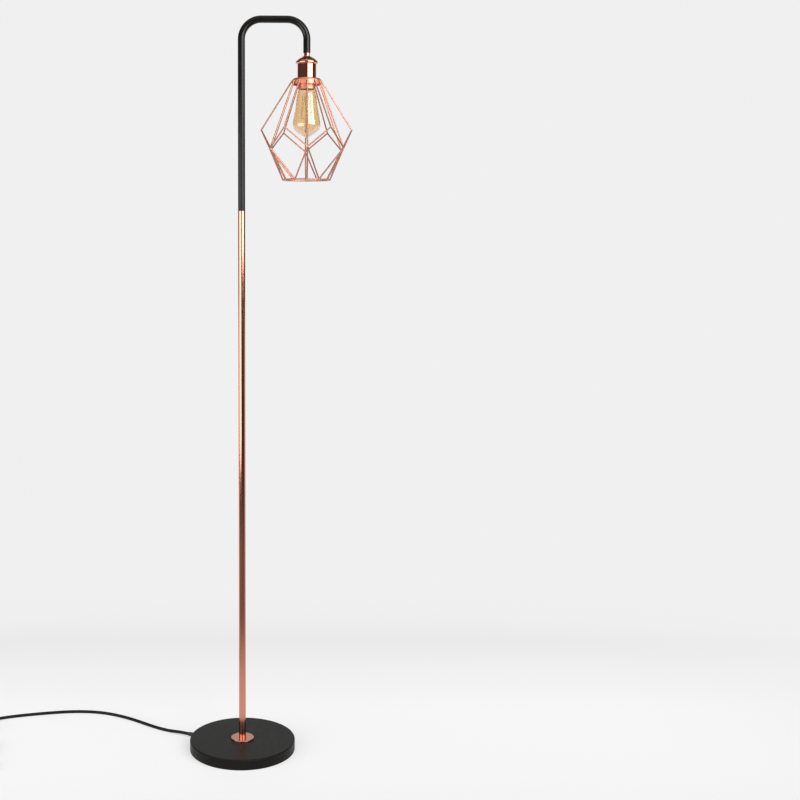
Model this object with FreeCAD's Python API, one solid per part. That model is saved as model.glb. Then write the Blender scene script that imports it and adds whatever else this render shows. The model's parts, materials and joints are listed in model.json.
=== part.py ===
"""Wire cage floor lamp: a disc base, a slim pole, a bent arm, and a lampholder with a wire cage and a bulb.

Millimetres, +Z up. The origin is the pole's axis on the floor under the base; the arm reaches along +X.
"""

import FreeCAD, Part
import os
from math import atan, cos, pi, radians, sin, sqrt, tan

Vector = FreeCAD.Vector
UP = Vector(0, 0, 1)
DOWN = Vector(0, 0, -1)

# ---- Driving dimensions ----------------------------------------------------------------------------
# Base
BASE_DIA = 230.0
BASE_HEIGHT = 23.0
BASE_EDGE_RADIUS = 2.0
COVER_WALL = 1.5
SKIRT_LIFT = 0.8  # the cover's rim stays off the floor by this much
PAD_RIM_GAP = 1.0  # between the pad and the cord relief's inner end
PAD_THICK = 2.0
WEIGHT_CLEARANCE = 0.3  # between the weight and the cover's wall
WEIGHT_POCKET_DIA = 36.0
WEIGHT_POCKET_DEPTH = 14.5
CHANNEL_WIDTH = 13.4  # the cord's way under the weight

# Threaded parts of the stem, all on one size of lamp thread
THREAD_DIA = 10.0
THREAD_CLEARANCE = 0.1
NIPPLE_BORE = 8.0
NUT_ACROSS_FLATS = 17.0
NUT_HEIGHT = 4.0
WASHER_DIA = 28.0
WASHER_THICK = 1.5
NIPPLE_BELOW_NUT = 0.5

# Pole and arm
TUBE_DIA = 15.0
TUBE_WALL = 1.0
FLANGE_DIA = 50.0
FLANGE_THICK = 2.5
FLANGE_EDGE_RADIUS = 0.8
POLE_SECTIONS = ("lower", "middle", "upper")
SECTION_LENGTH = 382.5
INSERT_LENGTH = 16.0
STUD_HEAD_LENGTH = 12.0
STUD_THREAD_LENGTH = 14.0
STUD_BORE = 7.5
ARM_RISE = 395.0  # from the pole's head to the axis of the arm's top run
ARM_REACH = 136.0
ARM_DROP = 68.4  # from the axis of the top run to the tube's open end
ARM_BEND_RADIUS = 41.0

# Lampholder, from the arm's end downwards
NECK_DIA = 12.0
NECK_HEIGHT = 6.4
CAP_DIA = 46.6
CAP_HEIGHT = 16.2
CAP_SHOULDER_DIA = 34.6
CAP_SHOULDER_DROP = 5.6
CAP_FLARE_DROP = 5.4  # from the shoulder to the widest part
CAP_WALL = 1.2
SLEEVE_DIA = 39.6
SLEEVE_HEIGHT = 29.3
SLEEVE_WALL = 1.0
SPIGOT_LENGTH = 5.0  # how far one holder shell reaches into the next
SPIGOT_STEP = 0.5
SHELL_CLEARANCE = 0.1
SKIRT_DIA = 37.0
SKIRT_HEIGHT = 22.1
SKIRT_WALL = 1.3
SKIRT_LEDGE_DROP = 2.2  # from the sleeve's lower end to the ledge that carries the ceramic
SKIRT_LEDGE_THICK = 2.5
SKIRT_LEDGE_DIA = 29.4
CERAMIC_CLEARANCE = 0.2
CERAMIC_HEIGHT = 29.0
SCREW_SHELL_BORE = 27.0
SCREW_SHELL_WALL = 0.6
SCREW_SHELL_HEIGHT = 24.6
CONTACT_THICK = 0.8
CONTACT_WIDTH = 7.0
TERMINAL_SPACING = 18.0
TERMINAL_SIZE = 6.5
TERMINAL_HEIGHT = 5.0
TERMINAL_SCREW_DIA = 3.5
TERMINAL_SCREW_HEAD = 5.0
SHADE_RING_DIA = 45.0
SHADE_RING_HEIGHT = 7.0
HOLDER_NIPPLE_IN_ARM = 12.0
HOLDER_NIPPLE_IN_CAP = 5.2
HOLDER_NUT_ACROSS_FLATS = 14.0

# Cage
COLLAR_DIA = 61.4
COLLAR_HEIGHT = 13.0
COLLAR_CORNER_RADIUS = 5.5
COLLAR_WALL = 1.2
COLLAR_CLEARANCE = 0.2
WIRE_DIA = 3.1
JOINT_GAP = 0.05  # between a leg's shaped end and the bottom ring
CAGE_SIDES = 6
SPOKE_DROP_AT_COLLAR = 5.5  # from the collar's top to where the wires meet its side
WAIST_HIGH_RADIUS = 94.5
WAIST_HIGH_DROP = 106.2  # from the collar's top
WAIST_LOW_RADIUS = 87.0
WAIST_LOW_DROP = 145.7
RING_RADIUS = 49.5
RING_DROP = 209.3

# Bulb
BULB_GLASS_DIA = 58.0
BULB_GLASS_WALL = 0.9
BULB_CAP_DIA = 26.2
BULB_CAP_HEIGHT = 23.0
BULB_CAP_WALL = 0.5
BULB_INSULATOR_HEIGHT = 3.5
BULB_INSULATOR_DIA = 16.0
BULB_CONTACT_DIA = 9.5
BULB_CONTACT_HEIGHT = 1.2
BULB_CONTACT_GAP = 0.3
BULB_NECK_DIA = 24.6
BULB_NECK_INSIDE = 6.0
BULB_GLASS_LENGTH = 116.5  # from the screw cap's rim to the tip
STEM_ROD_DIA = 3.6
STEM_ROD_END_DROP = 80.0
STEM_BUTTON_DIA = 5.6
FILAMENT_WIRE_DIA = 0.7
FILAMENT_HIGH_DROP = 30.0
FILAMENT_HIGH_RADIUS = 8.0
FILAMENT_LOW_DROP = 76.0
FILAMENT_LOW_RADIUS = 13.5
FILAMENT_LOOPS = 6
FILAMENT_GAP = 0.1  # between a support's tip and the filament's bend

# Cord
CORD_DIA = 7.0
INNER_LEAD_DIA = 5.0
INNER_BEND_RADIUS = 7.0
CORE_DIA = 1.8
CORD_EXIT_HEIGHT = 6.5
CORD_EXIT_ANGLE = 153.0
RELIEF_LENGTH = 22.0
RELIEF_FLANGE_DIA = 12.0
RELIEF_FLANGE_THICK = 1.6
RELIEF_NECK_DIA = 9.6
RELIEF_ROOT_DIA = 10.6
RELIEF_TIP_DIA = 8.4
RELIEF_INSIDE = 3.2
CORD_FIT = 0.1  # the bores that hold a cord are wider than the cord by this much

# Foot switch on the cord
SWITCH_LENGTH = 66.0
SWITCH_WIDTH = 38.0
SWITCH_HEIGHT = 24.0
SWITCH_END_RADIUS = 15.0
SWITCH_TOP_RADIUS = 6.0
SWITCH_WALL = 2.0
SWITCH_SPLIT_HEIGHT = 12.0
SWITCH_FROM_EXIT = Vector(-481.0, 18.0, 0)
SWITCH_HEADING = 250.0
SWITCH_CORD_HEIGHT = 7.4
SWITCH_RELIEF_LENGTH = 8.0
SWITCH_RELIEF_DIA = 10.4
SWITCH_RELIEF_GROOVE = 1.0
SWITCH_RELIEF_INSIDE = 4.0
BUTTON_DIA = 24.0
BUTTON_STANDS_PROUD = 4.2
BUTTON_CLEARANCE = 0.3
BUTTON_LIP = 1.6
BUTTON_LIP_THICK = 1.6
BUTTON_CROWN_RADIUS = 2.0
BUTTON_TRAVEL = 3.0
BUTTON_STEM_DIA = 6.0
BLOCK_SIZE = 22.0
BLOCK_HEIGHT = 9.0
SPRING_MEAN_DIA = 12.0
SPRING_WIRE_DIA = 1.0
SPRING_TURNS = 4

# Coil, tie and plug at the cord's far end
COIL_FROM_EXIT = Vector(-464.0, -84.0, 0)
COIL_OUTER_RADIUS = 47.0  # of the outermost turn's centre-line
COIL_TURNS = 5
COIL_PITCH = 7.6  # turn to turn, and layer to layer
TIE_ANGLE = 300.0
TIE_WIDTH = 9.0
TIE_THICK = 1.0
TIE_CLEARANCE = 0.3
PLUG_LENGTH = 33.0
PLUG_WIDTH = 35.2
PLUG_THICK = 13.8
PLUG_REAR_WIDTH = 13.0
PLUG_REAR_THICK = 11.0
PLUG_EDGE_RADIUS = 2.5
PLUG_RELIEF_LENGTH = 18.0
PIN_DIA = 4.0
PIN_LENGTH = 19.0
PIN_SPACING = 18.6
PIN_EMBED = 8.0
PLUG_FROM_COIL = Vector(54.5, -77.0, 0)  # from the coil's centre to the middle of the plug's pin face

# ---- Heights worked out from them ------------------------------------------------------------------
WEIGHT_TOP = BASE_HEIGHT - COVER_WALL
POCKET_TOP = PAD_THICK + WEIGHT_POCKET_DEPTH
WASHER_BOTTOM = POCKET_TOP - WASHER_THICK
NUT_BOTTOM = WASHER_BOTTOM - NUT_HEIGHT
FOOT_NIPPLE_BOTTOM = NUT_BOTTOM - NIPPLE_BELOW_NUT
POLE_FOOT = BASE_HEIGHT + FLANGE_THICK
POLE_HEAD = POLE_FOOT + len(POLE_SECTIONS) * SECTION_LENGTH
ARM_TOP = POLE_HEAD + ARM_RISE
ARM_END = ARM_TOP - ARM_DROP
CAP_TOP = ARM_END - NECK_HEIGHT
CAP_BOTTOM = CAP_TOP - CAP_HEIGHT
SLEEVE_BOTTOM = CAP_BOTTOM - SLEEVE_HEIGHT
SKIRT_BOTTOM = SLEEVE_BOTTOM - SKIRT_HEIGHT
CERAMIC_BOTTOM = SLEEVE_BOTTOM - SKIRT_LEDGE_DROP
CERAMIC_TOP = CERAMIC_BOTTOM + CERAMIC_HEIGHT
SCREW_SHELL_BOTTOM = CERAMIC_BOTTOM + SHELL_CLEARANCE
SCREW_SHELL_TOP = SCREW_SHELL_BOTTOM + SCREW_SHELL_HEIGHT
CONTACT_BOTTOM = SCREW_SHELL_TOP - SCREW_SHELL_WALL - CONTACT_THICK
BULB_TOP = CONTACT_BOTTOM - BULB_CONTACT_GAP
BULB_CAP_TOP = BULB_TOP - BULB_CONTACT_HEIGHT - BULB_INSULATOR_HEIGHT
BULB_CAP_BOTTOM = BULB_CAP_TOP - BULB_CAP_HEIGHT
BULB_TIP = BULB_CAP_BOTTOM - BULB_GLASS_LENGTH
COLLAR_TOP = SLEEVE_BOTTOM
HEAD = Vector(ARM_REACH, 0, 0)
TUBE_BORE = TUBE_DIA - 2 * TUBE_WALL
WIRE_RADIUS = WIRE_DIA / 2

EXIT_ALONG = Vector(cos(radians(CORD_EXIT_ANGLE)), sin(radians(CORD_EXIT_ANGLE)), 0)
SWITCH_ALONG = Vector(cos(radians(SWITCH_HEADING)), sin(radians(SWITCH_HEADING)), 0)
CORD_EXIT = EXIT_ALONG * (BASE_DIA / 2 + RELIEF_LENGTH)
SWITCH_CENTRE = CORD_EXIT + SWITCH_FROM_EXIT
COIL_CENTRE = CORD_EXIT + COIL_FROM_EXIT
PLUG_FACE = COIL_CENTRE + PLUG_FROM_COIL
SWITCH_CORD_REACH = SWITCH_LENGTH / 2 + SWITCH_RELIEF_LENGTH
CORD_REST_HEIGHT = CORD_DIA / 2
COIL_REST_HEIGHT = TIE_THICK + TIE_CLEARANCE + CORD_DIA / 2
PLUG_AXIS_HEIGHT = PLUG_THICK / 2


# ---- Shared shapes ---------------------------------------------------------------------------------
def disc(diameter, bottom, top, centre=Vector(0, 0, 0)):
    """A plain cylinder between two heights."""
    return Part.makeCylinder(diameter / 2, top - bottom, centre + UP * bottom, UP)


def rounded_wire(corners, place):
    """A closed wire through corners (u, v, radius), each corner rounded by a tangent arc."""
    arcs = []
    for index, (u, v, radius) in enumerate(corners):
        corner = Vector(u, v, 0)
        before = Vector(*corners[index - 1][:2], 0) - corner
        after = Vector(*corners[(index + 1) % len(corners)][:2], 0) - corner
        before.normalize()
        after.normalize()
        half_angle = before.getAngle(after) / 2
        reach = radius / tan(half_angle)
        inward = before + after
        if radius > 0:
            inward.normalize()
            middle = corner + inward * (radius / sin(half_angle) - radius)
        else:
            middle = corner
        arcs.append((corner + before * reach, middle, corner + after * reach, radius))
    edges = []
    for index, (start, middle, end, radius) in enumerate(arcs):
        if radius > 0:
            edges.append(Part.Arc(*(place(p.x, p.y) for p in (start, middle, end))).toShape())
        following = arcs[(index + 1) % len(arcs)][0]
        if (following - end).Length > 1e-6:
            edges.append(Part.makeLine(place(end.x, end.y), place(following.x, following.y)))
    return Part.Wire(edges)


def turned(corners, centre=Vector(0, 0, 0)):
    """A solid turned about the vertical axis through centre, from corners (radius, height, rounding)."""
    wire = rounded_wire(corners, lambda u, v: Vector(u, 0, v))
    solid = Part.Face(wire).revolve(Vector(0, 0, 0), UP, 360)
    solid.translate(centre)
    return solid


def sleeve(outer, bore, bottom, top, centre=Vector(0, 0, 0)):
    """A plain tube between two heights, given by its two diameters."""
    return disc(outer, bottom, top, centre).cut(disc(bore, bottom, top, centre))


def hexagon_nut(across_flats, bore, bottom, top, centre=Vector(0, 0, 0)):
    """A plain hexagon nut."""
    corner = across_flats / sqrt(3)
    points = [around(corner, bottom, angle, centre) for angle in range(0, 420, 60)]
    body = Part.Face(Part.makePolygon(points)).extrude(UP * (top - bottom))
    return body.cut(disc(bore, bottom, top, centre))


def aimed(shape, along, start):
    """Turns a shape made upright at the origin so that its top points along a direction, and moves it."""
    turn = FreeCAD.Rotation(UP, along)
    shape.Placement = FreeCAD.Placement(start, turn)
    return shape


def facing(shape, heading, centre):
    """Turns a shape made with its length along +X to a heading in degrees, and moves it to centre."""
    shape.Placement = FreeCAD.Placement(centre, FreeCAD.Rotation(UP, heading))
    return shape


def swept(path, diameter):
    """A round tube swept along a path of runs and arcs."""
    first = path.OrderedEdges[0]
    start = first.valueAt(first.FirstParameter)
    along = first.tangentAt(first.FirstParameter)
    section = Part.Wire(Part.Circle(start, along, diameter / 2).toShape())
    shell = Part.BRepOffsetAPI.MakePipeShell(path)
    shell.add(section)
    shell.build()
    shell.makeSolid()
    return shell.shape()


def softened(points, share=0.45):
    """The runs between points with an arc in each corner, as large as they allow, and the arcs' radii."""
    edges, radii = [], []
    here = points[0]
    for before, corner, after in zip(points, points[1:], points[2:]):
        back = before - corner
        on = after - corner
        reach = share * min(back.Length, on.Length)
        back.normalize()
        on.normalize()
        half_turn = (pi - back.getAngle(on)) / 2
        radius = reach / tan(half_turn)
        inward = back + on
        inward.normalize()
        start = corner + back * reach
        end = corner + on * reach
        middle = corner + inward * (radius / cos(half_turn) - radius)
        edges.append(Part.makeLine(here, start))
        edges.append(Part.Arc(start, middle, end).toShape())
        radii.append(radius)
        here = end
    edges.append(Part.makeLine(here, points[-1]))
    return edges, radii


def arc_from(start, along, end):
    """The arc that leaves start along a direction and ends at end."""
    chord = end - start
    half = along.getAngle(chord)
    if half < 1e-6:
        return Part.makeLine(start, end)
    corner = start + along * (chord.Length / 2 / cos(half))
    middle = start + chord * 0.5
    outward = corner - middle
    outward.normalize()
    return Part.Arc(start, middle + outward * (chord.Length / 2 * tan(half / 2)), end).toShape()


def biarc(start, along, end, leaving):
    """Two arcs that run smoothly from one point and direction to another."""
    chord = end - start
    both = along + leaving
    spread = 2 * (1 - along.dot(leaving))
    lean = chord.dot(both)
    reach = (sqrt(lean * lean + spread * chord.Length**2) - lean) / spread
    joint = (start + end + (along - leaving) * reach) * 0.5
    backwards = arc_from(end, leaving * -1, joint)
    return [arc_from(start, along, joint), backwards]


def wound(place, turns):
    """A path of quarter-turn biarcs through place(turn), which gives a point and a direction."""
    edges = []
    steps = round(turns * 4)
    for step in range(steps):
        start, along = place(step / 4)
        end, leaving = place((step + 1) / 4)
        edges.extend(biarc(start, along, end, leaving))
    return edges


def direction_of(place, turn):
    """The unit direction of a winding at a turn, from two near points."""
    near = 1e-4
    along = place(turn + near) - place(turn - near)
    along.normalize()
    return along


def least_gap(path, diameter):
    """The least gap between a wound tube and itself, measured on points of its centre-line."""
    spacing = diameter / 3
    points = path.discretize(Distance=spacing)
    skip = round(2.5 * diameter / spacing)
    nearest = min(
        (points[i] - points[j]).Length for i in range(len(points)) for j in range(i + skip, len(points))
    )
    return nearest - diameter


def half_space(point, outward, size=400.0):
    """A block that fills the outward side of a plane through point."""
    block = Part.makeBox(size, size, size, Vector(-size / 2, -size / 2, 0))
    return aimed(block, outward, point)


def wire_net(joints, wires, diameter, overrun):
    """Straight wires between named joints, mitred where they meet, so that they touch face to face.

    joints maps a name to a point, and wires lists (first, second) pairs. Each wire is cut at a joint by the
    planes that part it from the other wires there. Returns one solid for each pair, in order.
    """
    meeting = {name: [] for name in joints}
    for first, second in wires:
        span = joints[second] - joints[first]
        span.normalize()
        meeting[first].append((first, second, span))
        meeting[second].append((first, second, span * -1))
    solids = []
    for first, second in wires:
        span = joints[second] - joints[first]
        length = span.Length
        span.normalize()
        begins = overrun if len(meeting[first]) > 1 else 0
        ends = overrun if len(meeting[second]) > 1 else 0
        rod = Part.makeCylinder(diameter / 2, length + begins + ends, joints[first] - span * begins, span)
        for name, own in ((first, span), (second, span * -1)):
            for other_first, other_second, other in meeting[name]:
                if (other_first, other_second) != (first, second):
                    rod = rod.cut(half_space(joints[name], other - own))
        solids.append(rod)
    return solids


def around(radius, height, degrees, centre=HEAD):
    """A point at a radius, height and azimuth about a vertical axis."""
    return centre + Vector(radius * cos(radians(degrees)), radius * sin(radians(degrees)), height)


# ---- Base ------------------------------------------------------------------------------------------
def relief_axis_point(distance):
    """A point on the axis of the cord's exit, at a distance from the pole's axis."""
    return EXIT_ALONG * distance + UP * CORD_EXIT_HEIGHT


def base_cover():
    radius = BASE_DIA / 2
    cover = turned(
        [
            (0, BASE_HEIGHT, 0),
            (0, BASE_HEIGHT - COVER_WALL, 0),
            (radius - COVER_WALL, BASE_HEIGHT - COVER_WALL, BASE_EDGE_RADIUS - COVER_WALL),
            (radius - COVER_WALL, SKIRT_LIFT, 0),
            (radius, SKIRT_LIFT, 0),
            (radius, BASE_HEIGHT, BASE_EDGE_RADIUS),
        ]
    )
    cover = cover.cut(disc(THREAD_DIA + 2 * THREAD_CLEARANCE, 0, BASE_HEIGHT))
    hole = Part.makeCylinder(
        RELIEF_NECK_DIA / 2 + THREAD_CLEARANCE,
        COVER_WALL * 4,
        relief_axis_point(radius - 3 * COVER_WALL),
        EXIT_ALONG,
    )
    return cover.cut(hole)


def base_weight():
    radius = BASE_DIA / 2 - COVER_WALL - WEIGHT_CLEARANCE
    chamfer = BASE_EDGE_RADIUS
    weight = turned(
        [
            (0, PAD_THICK, 0),
            (radius, PAD_THICK, 0),
            (radius, WEIGHT_TOP - chamfer, 0),
            (radius - chamfer, WEIGHT_TOP, 0),
            (0, WEIGHT_TOP, 0),
        ]
    )
    weight = weight.cut(disc(THREAD_DIA + 2 * THREAD_CLEARANCE, 0, WEIGHT_TOP))
    weight = weight.cut(disc(WEIGHT_POCKET_DIA, 0, POCKET_TOP))
    channel_top = CORD_EXIT_HEIGHT + CHANNEL_WIDTH / 2
    channel = Part.makeBox(BASE_DIA / 2, CHANNEL_WIDTH, channel_top, Vector(0, -CHANNEL_WIDTH / 2, 0))
    return weight.cut(facing(channel, CORD_EXIT_ANGLE, Vector(0, 0, 0)))


def base_pad():
    return disc(BASE_DIA - 2 * (COVER_WALL + RELIEF_INSIDE + PAD_RIM_GAP), 0, PAD_THICK)


def cord_relief(cover):
    """The strain relief: a groove that grips the cover's wall, an outer flange and a tapered tail."""
    wall = RELIEF_INSIDE + COVER_WALL
    groove = RELIEF_INSIDE - THREAD_CLEARANCE
    tail = wall + RELIEF_LENGTH
    body = turned(
        [
            ((INNER_LEAD_DIA + CORD_FIT) / 2, 0, 0),
            (RELIEF_FLANGE_DIA / 2, 0, 0.5),
            (RELIEF_FLANGE_DIA / 2, groove, 0),
            (RELIEF_NECK_DIA / 2, groove, 0),
            (RELIEF_NECK_DIA / 2, wall, 0),
            (RELIEF_FLANGE_DIA / 2, wall, 0),
            (RELIEF_FLANGE_DIA / 2, wall + RELIEF_FLANGE_THICK, 0.6),
            (RELIEF_ROOT_DIA / 2, wall + RELIEF_FLANGE_THICK, 0),
            (RELIEF_TIP_DIA / 2, tail, 0.3),
            ((CORD_DIA + CORD_FIT) / 2, tail, 0),
            ((CORD_DIA + CORD_FIT) / 2, wall, 0),
            ((INNER_LEAD_DIA + CORD_FIT) / 2, wall, 0),
        ]
    )
    body = aimed(body, EXIT_ALONG, relief_axis_point(BASE_DIA / 2 - wall))
    return body.cut(cover)


def foot_nipple():
    top = POLE_FOOT + INSERT_LENGTH - THREAD_CLEARANCE
    return sleeve(THREAD_DIA, NIPPLE_BORE, FOOT_NIPPLE_BOTTOM, top)


def foot_washer():
    return sleeve(WASHER_DIA, THREAD_DIA + 2 * THREAD_CLEARANCE, WASHER_BOTTOM, POCKET_TOP)


def foot_nut():
    return hexagon_nut(NUT_ACROSS_FLATS, THREAD_DIA + 2 * THREAD_CLEARANCE, NUT_BOTTOM, WASHER_BOTTOM)


# ---- Pole and arm ----------------------------------------------------------------------------------
def pole_flange():
    bore = THREAD_DIA / 2 + THREAD_CLEARANCE
    radius = FLANGE_DIA / 2
    return turned(
        [
            (bore, BASE_HEIGHT, 0),
            (radius, BASE_HEIGHT, 0),
            (radius, POLE_FOOT, FLANGE_EDGE_RADIUS),
            (bore, POLE_FOOT, 0),
        ]
    )


def section_foot(index):
    """The height of the foot of a pole section; the arm's foot comes after the last section."""
    return POLE_FOOT + index * SECTION_LENGTH


def pole_section(index):
    foot = section_foot(index)
    return sleeve(TUBE_DIA, TUBE_BORE, foot, foot + SECTION_LENGTH)


def tube_insert(foot):
    """The threaded bush pressed into the foot of a tube."""
    return sleeve(TUBE_BORE, THREAD_DIA + 2 * THREAD_CLEARANCE, foot, foot + INSERT_LENGTH)


def tube_stud(head):
    """The hollow stud pressed into the head of a tube, whose thread reaches into the next tube."""
    bore = STUD_BORE / 2
    return turned(
        [
            (bore, head - STUD_HEAD_LENGTH, 0),
            (TUBE_BORE / 2, head - STUD_HEAD_LENGTH, 0),
            (TUBE_BORE / 2, head, 0),
            (THREAD_DIA / 2, head, 0),
            (THREAD_DIA / 2, head + STUD_THREAD_LENGTH, 0.8),
            (bore, head + STUD_THREAD_LENGTH, 0),
        ]
    )


def arm_path(start, end):
    """The arm's centre-line: up, over and down, from one height on the pole's axis to one on the head's."""
    turn = ARM_BEND_RADIUS
    slant = turn * (1 - sqrt(0.5))
    bottom = ARM_TOP - turn
    corner_in = Vector(slant, 0, ARM_TOP - slant)
    corner_out = Vector(ARM_REACH - slant, 0, ARM_TOP - slant)
    rise_end = Vector(0, 0, bottom)
    run_start = Vector(turn, 0, ARM_TOP)
    run_end = Vector(ARM_REACH - turn, 0, ARM_TOP)
    fall_start = Vector(ARM_REACH, 0, bottom)
    return [
        Part.makeLine(start, rise_end),
        Part.Arc(rise_end, corner_in, run_start).toShape(),
        Part.makeLine(run_start, run_end),
        Part.Arc(run_end, corner_out, fall_start).toShape(),
        Part.makeLine(fall_start, end),
    ]


def arm_tube():
    path = Part.Wire(arm_path(Vector(0, 0, POLE_HEAD), HEAD + UP * ARM_END))
    return swept(path, TUBE_DIA).cut(swept(path, TUBE_BORE))


# ---- Lampholder ------------------------------------------------------------------------------------
def neck_collar():
    bore = THREAD_DIA / 2 + THREAD_CLEARANCE
    radius = NECK_DIA / 2
    return turned(
        [(bore, CAP_TOP, 0), (radius, CAP_TOP, 0.5), (radius, ARM_END, 0.5), (bore, ARM_END, 0)],
        HEAD,
    )


def holder_nipple():
    bottom = CAP_TOP - CAP_WALL - HOLDER_NIPPLE_IN_CAP
    return sleeve(THREAD_DIA, NIPPLE_BORE, bottom, ARM_END + HOLDER_NIPPLE_IN_ARM, HEAD)


def holder_nut():
    top = CAP_TOP - CAP_WALL
    bore = THREAD_DIA + 2 * THREAD_CLEARANCE
    return hexagon_nut(HOLDER_NUT_ACROSS_FLATS, bore, top - NUT_HEIGHT, top, HEAD)


def holder_cap():
    bore = THREAD_DIA / 2 + THREAD_CLEARANCE
    radius = CAP_DIA / 2
    mouth = SLEEVE_DIA / 2 - SPIGOT_STEP + SHELL_CLEARANCE
    shoulder = CAP_SHOULDER_DIA / 2
    shoulder_z = CAP_TOP - CAP_SHOULDER_DROP
    widest_z = shoulder_z - CAP_FLARE_DROP
    return turned(
        [
            (bore, CAP_TOP, 0),
            (bore, CAP_TOP - CAP_WALL, 0),
            (NECK_DIA / 2 + 2, CAP_TOP - CAP_WALL, 0),
            (shoulder, shoulder_z - CAP_WALL, 4),
            (radius - CAP_WALL, widest_z - CAP_WALL, 1.8),
            (radius - CAP_WALL, CAP_BOTTOM + CAP_WALL, 1.6),
            (mouth, CAP_BOTTOM + CAP_WALL, 0),
            (mouth, CAP_BOTTOM, 0),
            (radius, CAP_BOTTOM, 3.2),
            (radius, widest_z, 4),
            (shoulder, shoulder_z, 6),
            (NECK_DIA / 2 + 2, CAP_TOP, 3),
        ],
        HEAD,
    )


def holder_sleeve():
    radius = SLEEVE_DIA / 2
    bore = radius - SLEEVE_WALL
    spigot = radius - SPIGOT_STEP
    return turned(
        [
            (bore, SLEEVE_BOTTOM, 0),
            (radius, SLEEVE_BOTTOM, 0.4),
            (radius, CAP_BOTTOM, 0),
            (spigot, CAP_BOTTOM, 0),
            (spigot, CAP_BOTTOM + SPIGOT_LENGTH, 0),
            (bore, CAP_BOTTOM + SPIGOT_LENGTH, 0),
        ],
        HEAD,
    )


def holder_skirt():
    radius = SKIRT_DIA / 2
    bore = radius - SKIRT_WALL
    spigot = SLEEVE_DIA / 2 - SLEEVE_WALL - SHELL_CLEARANCE
    ledge = SKIRT_LEDGE_DIA / 2
    return turned(
        [
            (bore, SKIRT_BOTTOM, 0),
            (radius, SKIRT_BOTTOM, 0.5),
            (radius, SLEEVE_BOTTOM, 0),
            (spigot, SLEEVE_BOTTOM, 0),
            (spigot, SLEEVE_BOTTOM + SPIGOT_LENGTH, 0),
            (bore, SLEEVE_BOTTOM + SPIGOT_LENGTH, 0),
            (bore, CERAMIC_BOTTOM, 0),
            (ledge, CERAMIC_BOTTOM, 0),
            (ledge, CERAMIC_BOTTOM - SKIRT_LEDGE_THICK, 0),
            (bore, CERAMIC_BOTTOM - SKIRT_LEDGE_THICK, 0),
        ],
        HEAD,
    )


def holder_ceramic():
    radius = SKIRT_DIA / 2 - SKIRT_WALL - CERAMIC_CLEARANCE
    bore = SCREW_SHELL_BORE / 2 + SCREW_SHELL_WALL + SHELL_CLEARANCE
    body = disc(2 * radius, CERAMIC_BOTTOM, CERAMIC_TOP, HEAD)
    return body.cut(disc(2 * bore, CERAMIC_BOTTOM, SCREW_SHELL_TOP + SHELL_CLEARANCE, HEAD))


def screw_shell():
    """The brass cup that takes the bulb's cap, with a hole at its top for the centre contact."""
    outer = SCREW_SHELL_BORE + 2 * SCREW_SHELL_WALL
    shell = disc(outer, SCREW_SHELL_BOTTOM, SCREW_SHELL_TOP, HEAD)
    shell = shell.cut(disc(SCREW_SHELL_BORE, SCREW_SHELL_BOTTOM, SCREW_SHELL_TOP - SCREW_SHELL_WALL, HEAD))
    return shell.cut(disc(CONTACT_WIDTH + 11, SCREW_SHELL_BOTTOM, SCREW_SHELL_TOP, HEAD))


def centre_contact():
    """The spring tongue over the bulb's contact, with a post up to the ceramic."""
    half = CONTACT_WIDTH / 2
    tongue = Part.makeBox(
        CONTACT_WIDTH + 4, CONTACT_WIDTH, CONTACT_THICK, HEAD + Vector(-half, -half, CONTACT_BOTTOM)
    )
    post_bottom = CONTACT_BOTTOM + CONTACT_THICK
    post_top = SCREW_SHELL_TOP + SHELL_CLEARANCE
    post = Part.makeBox(
        2, CONTACT_WIDTH, post_top - post_bottom, HEAD + Vector(half + 2, -half, post_bottom)
    )
    return tongue.fuse(post).removeSplitter()


def holder_terminals():
    """Two terminal blocks on the ceramic's head."""
    blocks = []
    for side in (-1, 1):
        centre = HEAD + Vector(side * TERMINAL_SPACING / 2, 0, CERAMIC_TOP)
        half = TERMINAL_SIZE / 2
        block = Part.makeBox(TERMINAL_SIZE, TERMINAL_SIZE, TERMINAL_HEIGHT, centre - Vector(half, half, 0))
        seat = terminal_screw_seat(side)
        hole = Part.makeCylinder(TERMINAL_SCREW_DIA / 2, TERMINAL_SIZE, seat, Vector(0, 1, 0))
        blocks.append(block.cut(hole))
    return blocks


def terminal_screw_seat(side):
    """Where a terminal's screw meets the front face of its block."""
    return HEAD + Vector(side * TERMINAL_SPACING / 2, -TERMINAL_SIZE / 2, CERAMIC_TOP + TERMINAL_HEIGHT / 2)


def terminal_screws():
    screws = []
    into = Vector(0, 1, 0)
    head_length = 1.6
    for side in (-1, 1):
        seat = terminal_screw_seat(side)
        shank = Part.makeCylinder(TERMINAL_SCREW_DIA / 2 - SHELL_CLEARANCE / 2, TERMINAL_SIZE, seat, into)
        # The head lies outside the block.
        head = Part.makeCylinder(TERMINAL_SCREW_HEAD / 2, head_length, seat - into * head_length, into)
        screws.append(head.fuse(shank).removeSplitter())
    return screws


def shade_ring():
    """The threaded ring that clamps the cage's collar against the sleeve."""
    top = COLLAR_TOP - COLLAR_WALL
    bore = SKIRT_DIA / 2 + SHELL_CLEARANCE
    radius = SHADE_RING_DIA / 2
    return turned(
        [
            (bore, top - SHADE_RING_HEIGHT, 0),
            (radius - 2, top - SHADE_RING_HEIGHT, 1.2),
            (radius, top, 0),
            (bore, top, 0),
        ],
        HEAD,
    )


# ---- Cage ------------------------------------------------------------------------------------------
def collar_profile(inset):
    """The collar's outer form, or its inner one when inset by the wall."""
    radius = COLLAR_DIA / 2 - inset
    top = COLLAR_TOP - inset
    return radius, top, COLLAR_CORNER_RADIUS - inset


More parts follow.
